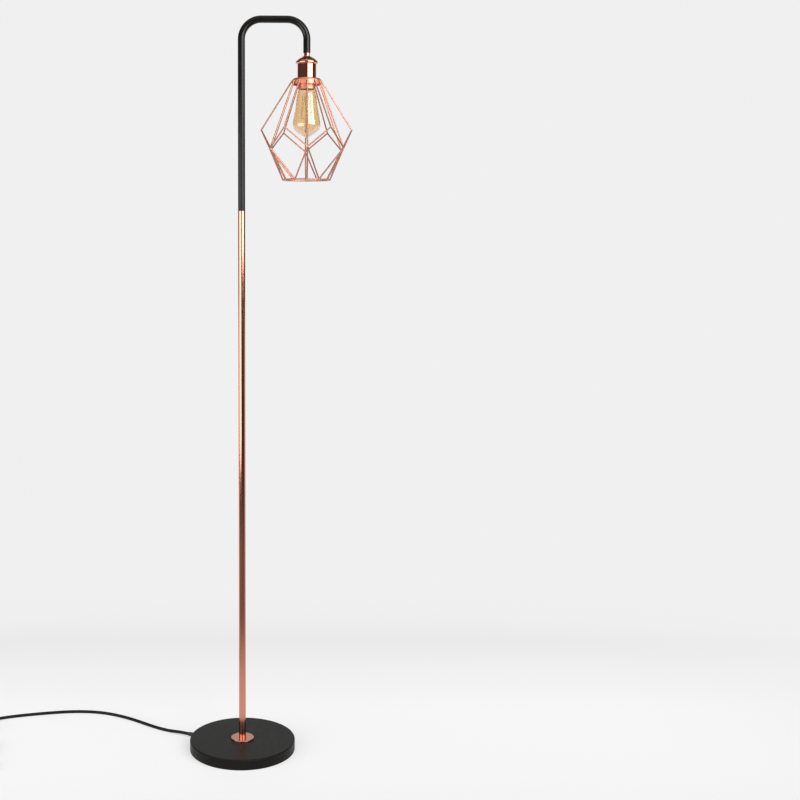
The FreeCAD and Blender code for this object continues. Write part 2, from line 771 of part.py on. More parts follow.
def collar_envelope():
    radius, top, corner = collar_profile(0)
    bottom = COLLAR_TOP - COLLAR_HEIGHT
    return turned([(0, bottom, 0), (radius, bottom, 0), (radius, top, corner), (0, top, 0)], HEAD)


def cage_collar():
    radius, top, corner = collar_profile(COLLAR_WALL)
    bottom = COLLAR_TOP - COLLAR_HEIGHT
    inside = turned([(0, bottom, 0), (radius, bottom, 0), (radius, top, corner), (0, top, 0)], HEAD)
    mouth = disc(SKIRT_DIA + 2 * COLLAR_CLEARANCE, bottom, COLLAR_TOP, HEAD)
    return collar_envelope().cut(inside).cut(mouth)


def cage_joints():
    """The cage's corners: high and low waist corners, and the feet on the ring under each."""
    joints = {}
    step = 360 / CAGE_SIDES
    for side in range(CAGE_SIDES):
        low = -90 + side * step
        high = low + step / 2
        joints["low", side] = around(WAIST_LOW_RADIUS, COLLAR_TOP - WAIST_LOW_DROP, low)
        joints["high", side] = around(WAIST_HIGH_RADIUS, COLLAR_TOP - WAIST_HIGH_DROP, high)
        for name, degrees in (("low", low), ("high", high)):
            joints[name + " root", side] = around(COLLAR_DIA / 2, COLLAR_TOP - SPOKE_DROP_AT_COLLAR, degrees)
            joints[name + " foot", side] = around(RING_RADIUS, COLLAR_TOP - RING_DROP, degrees)
    return joints


def cage_wires():
    """The wires by family, each as pairs of corners."""
    sides = range(CAGE_SIDES)
    last = CAGE_SIDES
    return {
        "cage_outer_spokes": [(("high root", s), ("high", s)) for s in sides],
        "cage_inner_spokes": [(("low root", s), ("low", s)) for s in sides],
        "cage_waist_wires": [(("low", (s + k) % last), ("high", s)) for s in sides for k in (0, 1)],
        "cage_slanting_legs": [(("low", (s + k) % last), ("high foot", s)) for s in sides for k in (0, 1)],
        "cage_upright_legs": [(("low", s), ("low foot", s)) for s in sides],
    }


def cage_ring():
    return Part.makeTorus(RING_RADIUS, WIRE_RADIUS, HEAD + UP * (COLLAR_TOP - RING_DROP), UP)


def foot_saddle(foot):
    """A bar along the bottom ring at a foot, a hair thicker than the ring, that shapes the end of a leg."""
    outward = foot - (HEAD + UP * foot.z)
    along = UP.cross(outward)
    along.normalize()
    half = 6 * WIRE_DIA
    return Part.makeCylinder(WIRE_RADIUS + JOINT_GAP, 2 * half, foot - along * half, along)


def largest(shape):
    """The largest solid of a shape, without the slivers that a cut leaves."""
    return max(shape.Solids, key=lambda solid: solid.Volume)


def cage_nodes():
    """Every family of wires as a list of mitred solids, and the round bottom ring."""
    families = cage_wires()
    joints = cage_joints()
    pairs = [pair for wires in families.values() for pair in wires]
    rods = dict(zip(pairs, wire_net(joints, pairs, WIRE_DIA, 4 * WIRE_DIA)))
    collar = collar_envelope()
    for pair in pairs:
        (start_name, _), (end_name, _) = pair
        if start_name.endswith("root"):
            rods[pair] = largest(rods[pair].cut(collar))
        if end_name.endswith("foot"):
            rods[pair] = largest(rods[pair].cut(foot_saddle(joints[pair[1]])))
    nodes = {name: [rods[pair] for pair in wires] for name, wires in families.items()}
    nodes["cage_bottom_ring"] = cage_ring()
    return nodes


# ---- Bulb ------------------------------------------------------------------------------------------
def glass_outline():
    """The bulb's outline from its cap's rim to its tip, as (radius, height) points."""
    greatest = BULB_GLASS_DIA / 2
    rim = BULB_CAP_BOTTOM
    return [
        (BULB_NECK_DIA / 2, rim),
        (greatest * 0.545, rim - 0.115 * BULB_GLASS_LENGTH),
        (greatest * 0.675, rim - 0.200 * BULB_GLASS_LENGTH),
        (greatest * 0.750, rim - 0.320 * BULB_GLASS_LENGTH),
        (greatest * 0.805, rim - 0.440 * BULB_GLASS_LENGTH),
        (greatest * 0.885, rim - 0.550 * BULB_GLASS_LENGTH),
        (greatest * 0.970, rim - 0.665 * BULB_GLASS_LENGTH),
        (greatest, rim - 0.765 * BULB_GLASS_LENGTH),
        (greatest * 0.930, rim - 0.825 * BULB_GLASS_LENGTH),
        (greatest * 0.640, rim - 0.905 * BULB_GLASS_LENGTH),
        (greatest * 0.250, rim - 0.963 * BULB_GLASS_LENGTH),
        (0, BULB_TIP),
    ]


def smooth_outline(points):
    """A smooth curve through the outline's points."""
    curve = Part.BSplineCurve()
    curve.interpolate(
        Points=points, InitialTangent=Vector(0.12, 0, -1), FinalTangent=Vector(-0.75, 0, -0.65)
    )
    return curve


def glass_form(inset):
    """The solid inside the bulb's outline, drawn in square to the outline by an inset."""
    curve = smooth_outline([Vector(r, 0, z) for r, z in glass_outline()])
    points = []
    for knot in curve.getKnots():
        along = curve.tangent(knot)[0]
        points.append(curve.value(knot) + Vector(along.z, 0, -along.x) * inset)
    points[0] = Vector(BULB_NECK_DIA / 2 - inset, 0, BULB_CAP_BOTTOM)
    points[-1] = Vector(0, 0, BULB_TIP + 1.5 * inset)
    curve = smooth_outline(points)
    top = points[0] + UP * BULB_NECK_INSIDE
    axis_top = Vector(0, 0, top.z)
    edges = [
        Part.makeLine(top, points[0]),
        curve.toShape(),
        Part.makeLine(points[-1], axis_top),
        Part.makeLine(axis_top, top),
    ]
    form = Part.Face(Part.Wire(edges)).revolve(Vector(0, 0, 0), UP, 360)
    form.translate(HEAD)
    return form


def bulb_glass():
    return glass_form(0).cut(glass_form(BULB_GLASS_WALL))


def bulb_cap():
    outer = BULB_CAP_DIA / 2
    wall = BULB_CAP_WALL
    shoulder = BULB_INSULATOR_DIA / 2
    return turned(
        [
            (outer - wall, BULB_CAP_BOTTOM, 0),
            (outer, BULB_CAP_BOTTOM, 0),
            (outer, BULB_CAP_TOP - 2.5, 1),
            (shoulder, BULB_CAP_TOP, 0),
            (shoulder - 2, BULB_CAP_TOP, 0),
            (shoulder - 2, BULB_CAP_TOP - wall, 0),
            (outer - wall, BULB_CAP_TOP - 2.5 - wall, 0),
        ],
        HEAD,
    )


def bulb_insulator():
    top = BULB_CAP_TOP + BULB_INSULATOR_HEIGHT
    return turned(
        [
            (0, BULB_CAP_TOP, 0),
            (BULB_INSULATOR_DIA / 2, BULB_CAP_TOP, 0),
            (BULB_CONTACT_DIA / 2 + 1, top, 0),
            (0, top, 0),
        ],
        HEAD,
    )


def bulb_contact():
    bottom = BULB_CAP_TOP + BULB_INSULATOR_HEIGHT
    return turned(
        [
            (0, bottom, 0),
            (BULB_CONTACT_DIA / 2, bottom, 0),
            (BULB_CONTACT_DIA / 2, BULB_TOP, 0.8),
            (0, BULB_TOP, 0),
        ],
        HEAD,
    )


def stem_button_height(drop):
    return BULB_CAP_BOTTOM - drop


def bulb_stem():
    """The flared glass foot sealed in the neck, with a rod and two buttons that carry the support wires."""
    neck = BULB_NECK_DIA / 2 - BULB_GLASS_WALL - 0.15
    rod = STEM_ROD_DIA / 2
    button = STEM_BUTTON_DIA / 2
    top = BULB_CAP_BOTTOM + BULB_NECK_INSIDE
    end = BULB_CAP_BOTTOM - STEM_ROD_END_DROP
    high = stem_button_height(FILAMENT_HIGH_DROP)
    low = stem_button_height(FILAMENT_LOW_DROP)
    return turned(
        [
            (0, top, 0),
            (neck, top, 0),
            (neck, top - 3, 2),
            (rod, top - 22, 8),
            (rod, high + button, 0.5),
            (button, high, 1),
            (rod, high - button, 0.5),
            (rod, low + button, 0.5),
            (button, low, 1),
            (rod, end, 0),
            (0, end, 0),
        ],
        HEAD,
    )


def filament_joints():
    joints = {}
    step = 360 / FILAMENT_LOOPS
    high = stem_button_height(FILAMENT_HIGH_DROP)
    low = stem_button_height(FILAMENT_LOW_DROP)
    for loop in range(FILAMENT_LOOPS):
        joints["high", loop] = around(FILAMENT_HIGH_RADIUS, high, loop * step)
        joints["low", loop] = around(FILAMENT_LOW_RADIUS, low, (loop + 0.5) * step)
    return joints


def bulb_filament():
    """The thread that runs up and down round the stem."""
    pairs = [(("low", (s + k) % FILAMENT_LOOPS), ("high", (s + 1) % FILAMENT_LOOPS))
             for s in range(FILAMENT_LOOPS) for k in (0, 1)]
    return wire_net(filament_joints(), pairs, FILAMENT_WIRE_DIA, 2 * FILAMENT_WIRE_DIA)


def bulb_supports():
    """Short hooks from the stem's buttons to the bends of the filament."""
    hooks = []
    for (name, _), point in filament_joints().items():
        drop = FILAMENT_HIGH_DROP if name == "high" else FILAMENT_LOW_DROP
        outward = point - (HEAD + UP * stem_button_height(drop))
        radius = outward.Length
        outward.normalize()
        start = STEM_BUTTON_DIA / 2 - 0.35
        hooks.append(
            Part.makeCylinder(
                FILAMENT_WIRE_DIA / 2,
                radius - start - FILAMENT_WIRE_DIA / 2 - FILAMENT_GAP,
                HEAD + UP * stem_button_height(drop) + outward * start,
                outward,
            )
        )
    return hooks


# ---- Flex inside the lamp --------------------------------------------------------------------------
def inner_lead():
    """The flex from the strain relief under the weight, up the pole, over the arm and into the holder."""
    bend = INNER_BEND_RADIUS
    slant = bend * (1 - sqrt(0.5))
    floor = UP * CORD_EXIT_HEIGHT
    start = relief_axis_point(BASE_DIA / 2)
    bend_start = EXIT_ALONG * bend + floor
    bend_middle = EXIT_ALONG * slant + floor + UP * slant
    bend_end = floor + UP * bend
    under_base = [
        Part.makeLine(start, bend_start),
        Part.Arc(bend_start, bend_middle, bend_end).toShape(),
    ]
    over_arm = arm_path(bend_end, inner_lead_end())
    return swept(Part.Wire(under_base + over_arm), INNER_LEAD_DIA)


def inner_lead_end():
    return HEAD + UP * (CAP_TOP - CAP_WALL - HOLDER_NIPPLE_IN_CAP - 1.0)


def lead_cores():
    """The two cores from the flex's end to the terminals."""
    cores = []
    for side in (-1, 1):
        start = inner_lead_end() + Vector(side * INNER_LEAD_DIA / 4, 0, 0)
        end = HEAD + Vector(side * TERMINAL_SPACING / 2, 0, CERAMIC_TOP + TERMINAL_HEIGHT)
        straight = 2.2
        edges, _ = softened([start, start + DOWN * straight, end + UP * straight, end])
        cores.append(swept(Part.Wire(edges), CORE_DIA))
    return cores


# ---- Free cord -------------------------------------------------------------------------------------
def route_points():
    """The three free stretches of the cord, as points chosen by hand, in the order in which they run."""
    relief_tip = relief_axis_point(BASE_DIA / 2 + RELIEF_LENGTH)
    low = CORD_REST_HEIGHT
    entry = SWITCH_CENTRE - SWITCH_ALONG * SWITCH_CORD_REACH + UP * SWITCH_CORD_HEIGHT
    leaving = SWITCH_CENTRE + SWITCH_ALONG * SWITCH_CORD_REACH + UP * SWITCH_CORD_HEIGHT
    coil_start, coil_end = coil_ends()
    plug_entry = PLUG_FACE + Vector(-PLUG_LENGTH - PLUG_RELIEF_LENGTH, 0, PLUG_AXIS_HEIGHT)
    first = [
        relief_tip,
        relief_tip + EXIT_ALONG * 24,
        CORD_EXIT + Vector(-48, 25, low),
        CORD_EXIT + Vector(-83, 47, low),
        CORD_EXIT + Vector(-147, 100, low),
        CORD_EXIT + Vector(-211, 133, low),
        CORD_EXIT + Vector(-275, 140, low),
        CORD_EXIT + Vector(-337, 131, low),
        CORD_EXIT + Vector(-402, 115, low),
        CORD_EXIT + Vector(-443, 101, low),
        entry - SWITCH_ALONG * 23,
        entry,
    ]
    second = [
        leaving,
        leaving + SWITCH_ALONG * 18,
        coil_start + Vector(0, 19, 0),
        coil_start,
    ]
    third = [
        coil_end,
        coil_end + Vector(0, -19, 0),
        coil_end + Vector(0, -40.7, -3.2),
        coil_end + Vector(10.7, -59.3, -5.2),
        plug_entry + Vector(-21, 0, 0),
        plug_entry,
    ]
    return {"lead_run": first, "lead_middle": second, "lead_tail": third}


def hidden_ends():
    """How far each stretch runs on, straight, inside what holds its two ends."""
    in_relief = RELIEF_LENGTH
    in_switch = SWITCH_RELIEF_LENGTH + SWITCH_WALL + SWITCH_RELIEF_INSIDE
    return {"lead_run": (in_relief, in_switch), "lead_middle": (in_switch, 0), "lead_tail": (0, 0)}


def coil_place(turn):
    """A point of the coil's centre-line: it spirals in on the floor and out again one layer higher."""
    middle = COIL_TURNS / 2
    offset = turn - middle
    quarter = 0.25
    innermost = COIL_OUTER_RADIUS - COIL_PITCH * middle
    if abs(offset) < quarter:
        radius = innermost + COIL_PITCH * (2 * offset * offset + quarter / 2)
        climb = 0.5 + 0.5 * sin(2 * pi * offset)
    else:
        radius = innermost + COIL_PITCH * abs(offset)
        climb = 1.0 if offset > 0 else 0.0
    angle = pi + 2 * pi * turn
    height = COIL_REST_HEIGHT + COIL_PITCH * climb
    return COIL_CENTRE + Vector(radius * cos(angle), radius * sin(angle), height)


def coil_station(turn):
    """A point and direction of the coil; at its ends the direction is square to the radius."""
    if turn in (0, COIL_TURNS):
        return coil_place(turn), Vector(0, -1, 0)
    return coil_place(turn), direction_of(coil_place, turn)


def coil_ends():
    """Where the coil's straight ends meet the cord before and after it."""
    return coil_place(0) + Vector(0, CORD_DIA, 0), coil_place(COIL_TURNS) + Vector(0, -CORD_DIA, 0)


def lead_coil():
    start, end = coil_ends()
    edges = [Part.makeLine(start, coil_place(0))]
    edges += wound(coil_station, COIL_TURNS)
    edges.append(Part.makeLine(coil_place(COIL_TURNS), end))
    path = Part.Wire(Part.__sortEdges__(edges))
    print(f"lead_coil: length {path.Length:.0f}, least gap to itself {least_gap(path, CORD_DIA):.2f}")
    return swept(path, CORD_DIA)


def cord_stretches():
    """The cord's free stretches, each a tube of straight runs joined by large arcs."""
    tubes = {}
    hidden = hidden_ends()
    for name, points in route_points().items():
        edges, radii = softened(points)
        for end, length in zip((0, -1), hidden[name]):
            if length > 0:
                edges = lengthened(edges, end, length)
        path = Part.Wire(edges)
        tube = swept(path, CORD_DIA)
        share = tube.Volume / (pi * CORD_DIA**2 / 4 * path.Length)
        rounded = [round(radius) for radius in radii]
        print(f"{name}: length {path.Length:.0f}, radii {rounded}, volume share {share:.4f}")
        tubes[name] = tube
    return tubes


def lengthened(edges, end, length):
    """The same edges with the first or the last run, a straight one, made longer at its free end."""
    start, finish = (vertex.Point for vertex in edges[end].Vertexes)
    along = finish - start
    along.normalize()
    if end == 0:
        return [Part.makeLine(start - along * length, finish)] + edges[1:]
    return edges[:-1] + [Part.makeLine(start, finish + along * length)]


def coil_tie():
    """A strap round the coil's bundle of turns, with its buckle on top."""
    half_cord = CORD_DIA / 2
    inner = COIL_OUTER_RADIUS - COIL_PITCH * COIL_TURNS / 2 - half_cord - TIE_CLEARANCE
    outer = COIL_OUTER_RADIUS + half_cord + TIE_CLEARANCE
    floor = TIE_THICK
    ceiling = COIL_REST_HEIGHT + COIL_PITCH + half_cord + TIE_CLEARANCE
    hole_radius = 2.5

    def band(grow, radius):
        corners = [
            (inner - grow, floor - grow, radius),
            (outer + grow, floor - grow, radius),
            (outer + grow, ceiling + grow, radius),
            (inner - grow, ceiling + grow, radius),
        ]
        wire = rounded_wire(corners, lambda u, v: Vector(u, -TIE_WIDTH / 2, v))
        return Part.Face(wire).extrude(Vector(0, TIE_WIDTH, 0))

    strap = band(TIE_THICK, hole_radius + TIE_THICK).cut(band(0, hole_radius))
    buckle_length = 12.0
    buckle_height = 2.2
    middle = (inner + outer) / 2
    top = ceiling + TIE_THICK
    corner = Vector(middle - buckle_length / 2, -TIE_WIDTH / 2 - 1.5, top)
    buckle = Part.makeBox(buckle_length, TIE_WIDTH + 3, buckle_height, corner)
    buckle = buckle.makeFillet(0.8, [edge for edge in buckle.Edges if edge.BoundBox.ZMin > top + 0.1])
    return facing(strap.fuse(buckle).removeSplitter(), TIE_ANGLE, COIL_CENTRE)


# ---- Foot switch -----------------------------------------------------------------------------------
def switch_plan(inset):
    """The switch's plan, drawn in by an inset."""
    length = SWITCH_LENGTH / 2 - inset
    width = SWITCH_WIDTH / 2 - inset
    radius = SWITCH_END_RADIUS - inset
    signs = ((-1, -1), (1, -1), (1, 1), (-1, 1))
    corners = [(along * length, across * width, radius) for along, across in signs]
    return rounded_wire(corners, lambda u, v: Vector(u, v, 0))


def switch_form(inset):
    """The switch's solid form with a rounded top, drawn in by an inset on every side."""
    height = SWITCH_HEIGHT - 2 * inset
    form = Part.Face(switch_plan(inset)).extrude(UP * height)
    top_edges = [edge for edge in form.Edges if edge.BoundBox.ZMin > height - 0.01]
    form = form.makeFillet(SWITCH_TOP_RADIUS - inset, top_edges)
    form.translate(UP * inset)
    return form


def switch_cord_way():
    """The passage for the cord's reliefs, right through both ends of the switch."""
    length = SWITCH_LENGTH + 4
    radius = SWITCH_RELIEF_DIA / 2 - SWITCH_RELIEF_GROOVE + SHELL_CLEARANCE
    return Part.makeCylinder(radius, length, Vector(-length / 2, 0, SWITCH_CORD_HEIGHT), Vector(1, 0, 0))


def switch_base():
    shell = switch_form(0).cut(switch_form(SWITCH_WALL))
    lower = shell.common(Part.makeBox(200, 200, SWITCH_SPLIT_HEIGHT, Vector(-100, -100, 0)))
    return facing(lower.cut(switch_cord_way()), SWITCH_HEADING, SWITCH_CENTRE)


def switch_cover():
    shell = switch_form(0).cut(switch_form(SWITCH_WALL))
    upper = shell.common(Part.makeBox(200, 200, SWITCH_HEIGHT, Vector(-100, -100, SWITCH_SPLIT_HEIGHT)))
    hole = disc(BUTTON_DIA + 2 * BUTTON_CLEARANCE, SWITCH_SPLIT_HEIGHT, SWITCH_HEIGHT + 1)
    return facing(upper.cut(hole), SWITCH_HEADING, SWITCH_CENTRE)


def switch_reliefs():
    """The two soft noses that hold the cord in the switch's ends."""
    noses = []
    outer = SWITCH_RELIEF_DIA / 2
    neck = outer - SWITCH_RELIEF_GROOVE
    bore = (CORD_DIA + CORD_FIT) / 2
    half = SWITCH_LENGTH / 2
    inner_end = half - SWITCH_WALL - SWITCH_RELIEF_INSIDE
    for side in (-1, 1):
        nose = turned(
            [
                (bore, inner_end, 0),
                (outer, inner_end, 0.5),
                (outer, half - SWITCH_WALL - SHELL_CLEARANCE, 0),
                (neck, half - SWITCH_WALL - SHELL_CLEARANCE, 0),
                (neck, half + SHELL_CLEARANCE, 0),
                (outer, half + SHELL_CLEARANCE, 0.3),
                (bore + 0.7, half + SWITCH_RELIEF_LENGTH, 0.3),
                (bore, half + SWITCH_RELIEF_LENGTH, 0),
            ]
        )
        noses.append(aimed(nose, SWITCH_ALONG * side, SWITCH_CENTRE + UP * SWITCH_CORD_HEIGHT))
    return noses


def button_lip_top():
    return SWITCH_HEIGHT - SWITCH_WALL - BUTTON_CLEARANCE


def block_top():
    return SWITCH_WALL + BLOCK_HEIGHT


def switch_button():
    """The press button: a crown, a hollow skirt with a lip under the cover, and a stem over the block."""
    radius = BUTTON_DIA / 2
    lip = radius + BUTTON_CLEARANCE + BUTTON_LIP
    lip_top = button_lip_top()
    lip_bottom = lip_top - BUTTON_LIP_THICK
    top = SWITCH_HEIGHT + BUTTON_STANDS_PROUD
    ceiling = lip_top - 0.5
    skirt_wall = 2.2
    stem_end = block_top() + BUTTON_TRAVEL + 2 * BUTTON_CLEARANCE
    return turned(
        [
            (0, stem_end, 0),
            (BUTTON_STEM_DIA / 2, stem_end, 0),
            (BUTTON_STEM_DIA / 2, ceiling, 0),
            (radius - skirt_wall, ceiling, 0),
            (radius - skirt_wall, lip_bottom, 0),
            (lip, lip_bottom, 0),
            (lip, lip_top, 0),
            (radius, lip_top, 0),
            (radius, top, BUTTON_CROWN_RADIUS),
            (0, top, 0),
        ],
        SWITCH_CENTRE,
    )


def switch_block():
    """The contact block on the switch's floor, under the button."""
    half = BLOCK_SIZE / 2
    block = Part.makeBox(BLOCK_SIZE, BLOCK_SIZE, BLOCK_HEIGHT, Vector(-half, -half, SWITCH_WALL))
    return facing(block, SWITCH_HEADING, SWITCH_CENTRE)


def button_spring():
    """The spring between the block and the button, an open winding."""
    rest = SPRING_WIRE_DIA / 2 + SHELL_CLEARANCE
    bottom = block_top() + rest
    rise = button_lip_top() - 0.5 - rest - bottom
    radius = SPRING_MEAN_DIA / 2

    def place(turn):
        angle = 2 * pi * turn
        height = bottom + rise * turn / SPRING_TURNS
        return SWITCH_CENTRE + Vector(radius * cos(angle), radius * sin(angle), height)

    edges = wound(lambda turn: (place(turn), direction_of(place, turn)), SPRING_TURNS)
    path = Part.Wire(Part.__sortEdges__(edges))
    print(f"button_spring: least gap to itself {least_gap(path, SPRING_WIRE_DIA):.2f}")
    return swept(path, SPRING_WIRE_DIA)


# ---- Plug ------------------------------------------------------------------------------------------
def plug_body():
    """A flat two-pin plug that widens to its pin face, thinner at its rear, with a tapered relief."""
    half_width = PLUG_WIDTH / 2
    rear_half = PLUG_REAR_WIDTH / 2
    plan = rounded_wire(
        [
            (0, -rear_half, 1),
            (0.62 * PLUG_LENGTH, -half_width, 6),
            (PLUG_LENGTH, -half_width, 1),
            (PLUG_LENGTH, half_width, 1),
            (0.62 * PLUG_LENGTH, half_width, 6),
            (0, rear_half, 1),
        ],
        lambda u, v: Vector(u, v, -PLUG_THICK),
    )
    side = rounded_wire(
        [
            (0, -PLUG_REAR_THICK / 2, 0.8),
            (0.5 * PLUG_LENGTH, -PLUG_THICK / 2, 8),
            (PLUG_LENGTH, -PLUG_THICK / 2, 1),
            (PLUG_LENGTH, PLUG_THICK / 2, 1),
            (0.5 * PLUG_LENGTH, PLUG_THICK / 2, 8),
            (0, PLUG_REAR_THICK / 2, 0.8),
        ],
        lambda u, v: Vector(u, -PLUG_WIDTH, v),
    )
    body = Part.Face(plan).extrude(UP * 2 * PLUG_THICK)
    body = body.common(Part.Face(side).extrude(Vector(0, 2 * PLUG_WIDTH, 0)))
    relief = turned(
        [
            (0, 0, 0),
            (CORD_DIA / 2, 0, 0),
            (CORD_DIA / 2 + 0.8, 0, 0.3),
            (PLUG_REAR_THICK / 2 - 0.8, PLUG_RELIEF_LENGTH, 0),
            (0, PLUG_RELIEF_LENGTH, 0),
        ]
    )
    relief = aimed(relief, Vector(1, 0, 0), Vector(-PLUG_RELIEF_LENGTH, 0, 0))
    whole = body.fuse(relief).removeSplitter()
    for side_y in pin_offsets():
        whole = whole.cut(plug_pin_at(side_y, 0))
    whole.translate(plug_rear())
    return whole


def plug_rear():
    """The middle of the plug's rear end."""
    return PLUG_FACE + Vector(-PLUG_LENGTH, 0, PLUG_AXIS_HEIGHT)


def pin_offsets():
    return (-PIN_SPACING / 2, PIN_SPACING / 2)


def plug_pin_at(side_y, rounding):
    """One pin in the plug's own frame, its tip rounded by a radius."""
    radius = PIN_DIA / 2
    length = PIN_EMBED + PIN_LENGTH
    pin = turned([(0, 0, 0), (radius, 0, 0), (radius, length, rounding), (0, length, 0)])
    return aimed(pin, Vector(1, 0, 0), Vector(PLUG_LENGTH - PIN_EMBED, side_y, 0))


def plug_pins():
    pins = [plug_pin_at(side_y, 1.2) for side_y in pin_offsets()]
    for pin in pins:
        pin.translate(plug_rear())
    return pins


# ---- All nodes -------------------------------------------------------------------------------------
def build():
    cover = base_cover()
    nodes = {
        "base_cover": cover,
        "base_weight": base_weight(),
        "base_pad": base_pad(),
        "foot_nipple": foot_nipple(),
        "foot_washer": foot_washer(),
        "foot_nut": foot_nut(),
        "pole_flange": pole_flange(),
    }
    for index, name in enumerate(POLE_SECTIONS):
        nodes["pole_" + name] = pole_section(index)
        nodes["insert_" + name] = tube_insert(section_foot(index))
        nodes["stud_" + name] = tube_stud(section_foot(index + 1))
    nodes["arm_tube"] = arm_tube()
    nodes["insert_arm"] = tube_insert(POLE_HEAD)
    drop_insert = tube_insert(ARM_END)
    drop_insert.translate(HEAD)
    nodes["insert_arm_drop"] = drop_insert
    nodes.update(
        {
            "neck_collar": neck_collar(),
            "holder_nipple": holder_nipple(),
            "holder_nut": holder_nut(),
            "holder_cap": holder_cap(),
            "holder_sleeve": holder_sleeve(),
            "holder_skirt": holder_skirt(),
            "holder_ceramic": holder_ceramic(),
            "screw_shell": screw_shell(),
            "centre_contact": centre_contact(),
            "holder_terminals": holder_terminals() + terminal_screws(),
            "shade_ring": shade_ring(),
            "cage_collar": cage_collar(),
        }
    )
    nodes.update(cage_nodes())
    nodes.update(
        {
            "bulb_glass": bulb_glass(),
            "bulb_cap": bulb_cap(),
            "bulb_insulator": bulb_insulator(),
            "bulb_contact": bulb_contact(),
            "bulb_stem": bulb_stem(),
            "bulb_supports": bulb_supports(),
            "bulb_filament": bulb_filament(),
            "inner_lead": inner_lead(),
            "lead_cores": lead_cores(),
            "cord_relief": cord_relief(cover),
            "lead_coil": lead_coil(),
            "coil_tie": coil_tie(),
            "switch_base": switch_base(),
            "switch_cover": switch_cover(),
            "switch_reliefs": switch_reliefs(),
            "switch_button": switch_button(),
            "switch_block": switch_block(),
            "button_spring": button_spring(),
            "plug_body": plug_body(),
            "plug_pins": plug_pins(),
        }
    )
    nodes.update(cord_stretches())
    return nodes


def write(nodes):
    """One file for each node; a list of solids becomes one group."""
    os.makedirs("parts", exist_ok=True)
    for name, made in nodes.items():
        shape = Part.makeCompound(made) if isinstance(made, list) else made
        shape.exportStep(f"parts/{name}.step")
    print(f"{len(nodes)} nodes")


write(build())
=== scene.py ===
"""Looks for a wire cage floor lamp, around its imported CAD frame. Metres, +Z up, arm towards +X."""

import json
import math

import bmesh
import bpy
from mathutils import Matrix, Vector


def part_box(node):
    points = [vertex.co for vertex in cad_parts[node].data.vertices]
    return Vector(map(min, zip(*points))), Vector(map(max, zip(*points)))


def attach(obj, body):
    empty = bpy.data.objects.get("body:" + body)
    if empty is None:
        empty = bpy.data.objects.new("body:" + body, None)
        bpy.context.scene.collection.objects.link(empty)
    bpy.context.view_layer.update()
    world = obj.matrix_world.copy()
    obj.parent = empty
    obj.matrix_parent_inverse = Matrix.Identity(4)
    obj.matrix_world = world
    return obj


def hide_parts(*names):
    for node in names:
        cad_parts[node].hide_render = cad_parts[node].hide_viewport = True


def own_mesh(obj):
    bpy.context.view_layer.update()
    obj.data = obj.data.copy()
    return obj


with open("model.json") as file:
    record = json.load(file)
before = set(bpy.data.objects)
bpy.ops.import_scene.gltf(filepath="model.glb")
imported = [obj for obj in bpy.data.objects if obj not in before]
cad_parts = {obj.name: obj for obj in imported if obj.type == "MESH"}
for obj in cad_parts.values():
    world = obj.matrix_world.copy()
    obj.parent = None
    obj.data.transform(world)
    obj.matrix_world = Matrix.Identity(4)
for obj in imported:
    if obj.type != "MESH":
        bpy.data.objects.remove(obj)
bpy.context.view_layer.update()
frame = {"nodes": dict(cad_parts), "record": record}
NODES = frame["nodes"]


def add_object(name, data):
    """A new object in the scene."""
    obj = bpy.data.objects.new(name, data)
    bpy.context.scene.collection.objects.link(obj)
    return obj


# ---- Camera ----------------------------------------------------------------------------------------
CAMERA_PLACE = (0.0666, -2.600, 1.130)
CAMERA_PITCH_DOWN = 5.781
CAMERA_TURN_RIGHT = 0.790
CAMERA_ROLL = 0.131
CAMERA_LENS = 55.22
CAMERA_SENSOR = 36
CAMERA_SHIFT = (0.1375, -0.055)
CAMERA_REACH = 50

camera_data = bpy.data.cameras.new("camera")
camera_data.lens = CAMERA_LENS
camera_data.sensor_width = CAMERA_SENSOR
camera_data.shift_x, camera_data.shift_y = CAMERA_SHIFT
camera_data.clip_end = CAMERA_REACH
camera = add_object("camera", camera_data)
camera.matrix_world = (
    Matrix.Translation(CAMERA_PLACE)
    @ Matrix.Rotation(-math.radians(CAMERA_TURN_RIGHT), 4, "Z")
    @ Matrix.Rotation(math.radians(90 - CAMERA_PITCH_DOWN), 4, "X")
    @ Matrix.Rotation(math.radians(CAMERA_ROLL), 4, "Z")
)
bpy.context.scene.camera = camera

# ---- Node materials --------------------------------------------------------------------------------
# A noise's values lie mostly between these two, so a range is spread from the one to the other.
NOISE_LOW, NOISE_HIGH = 0.35, 0.65
NOISE_ROUGHNESS = 0.55
GRAIN_DISTANCE = 0.0003


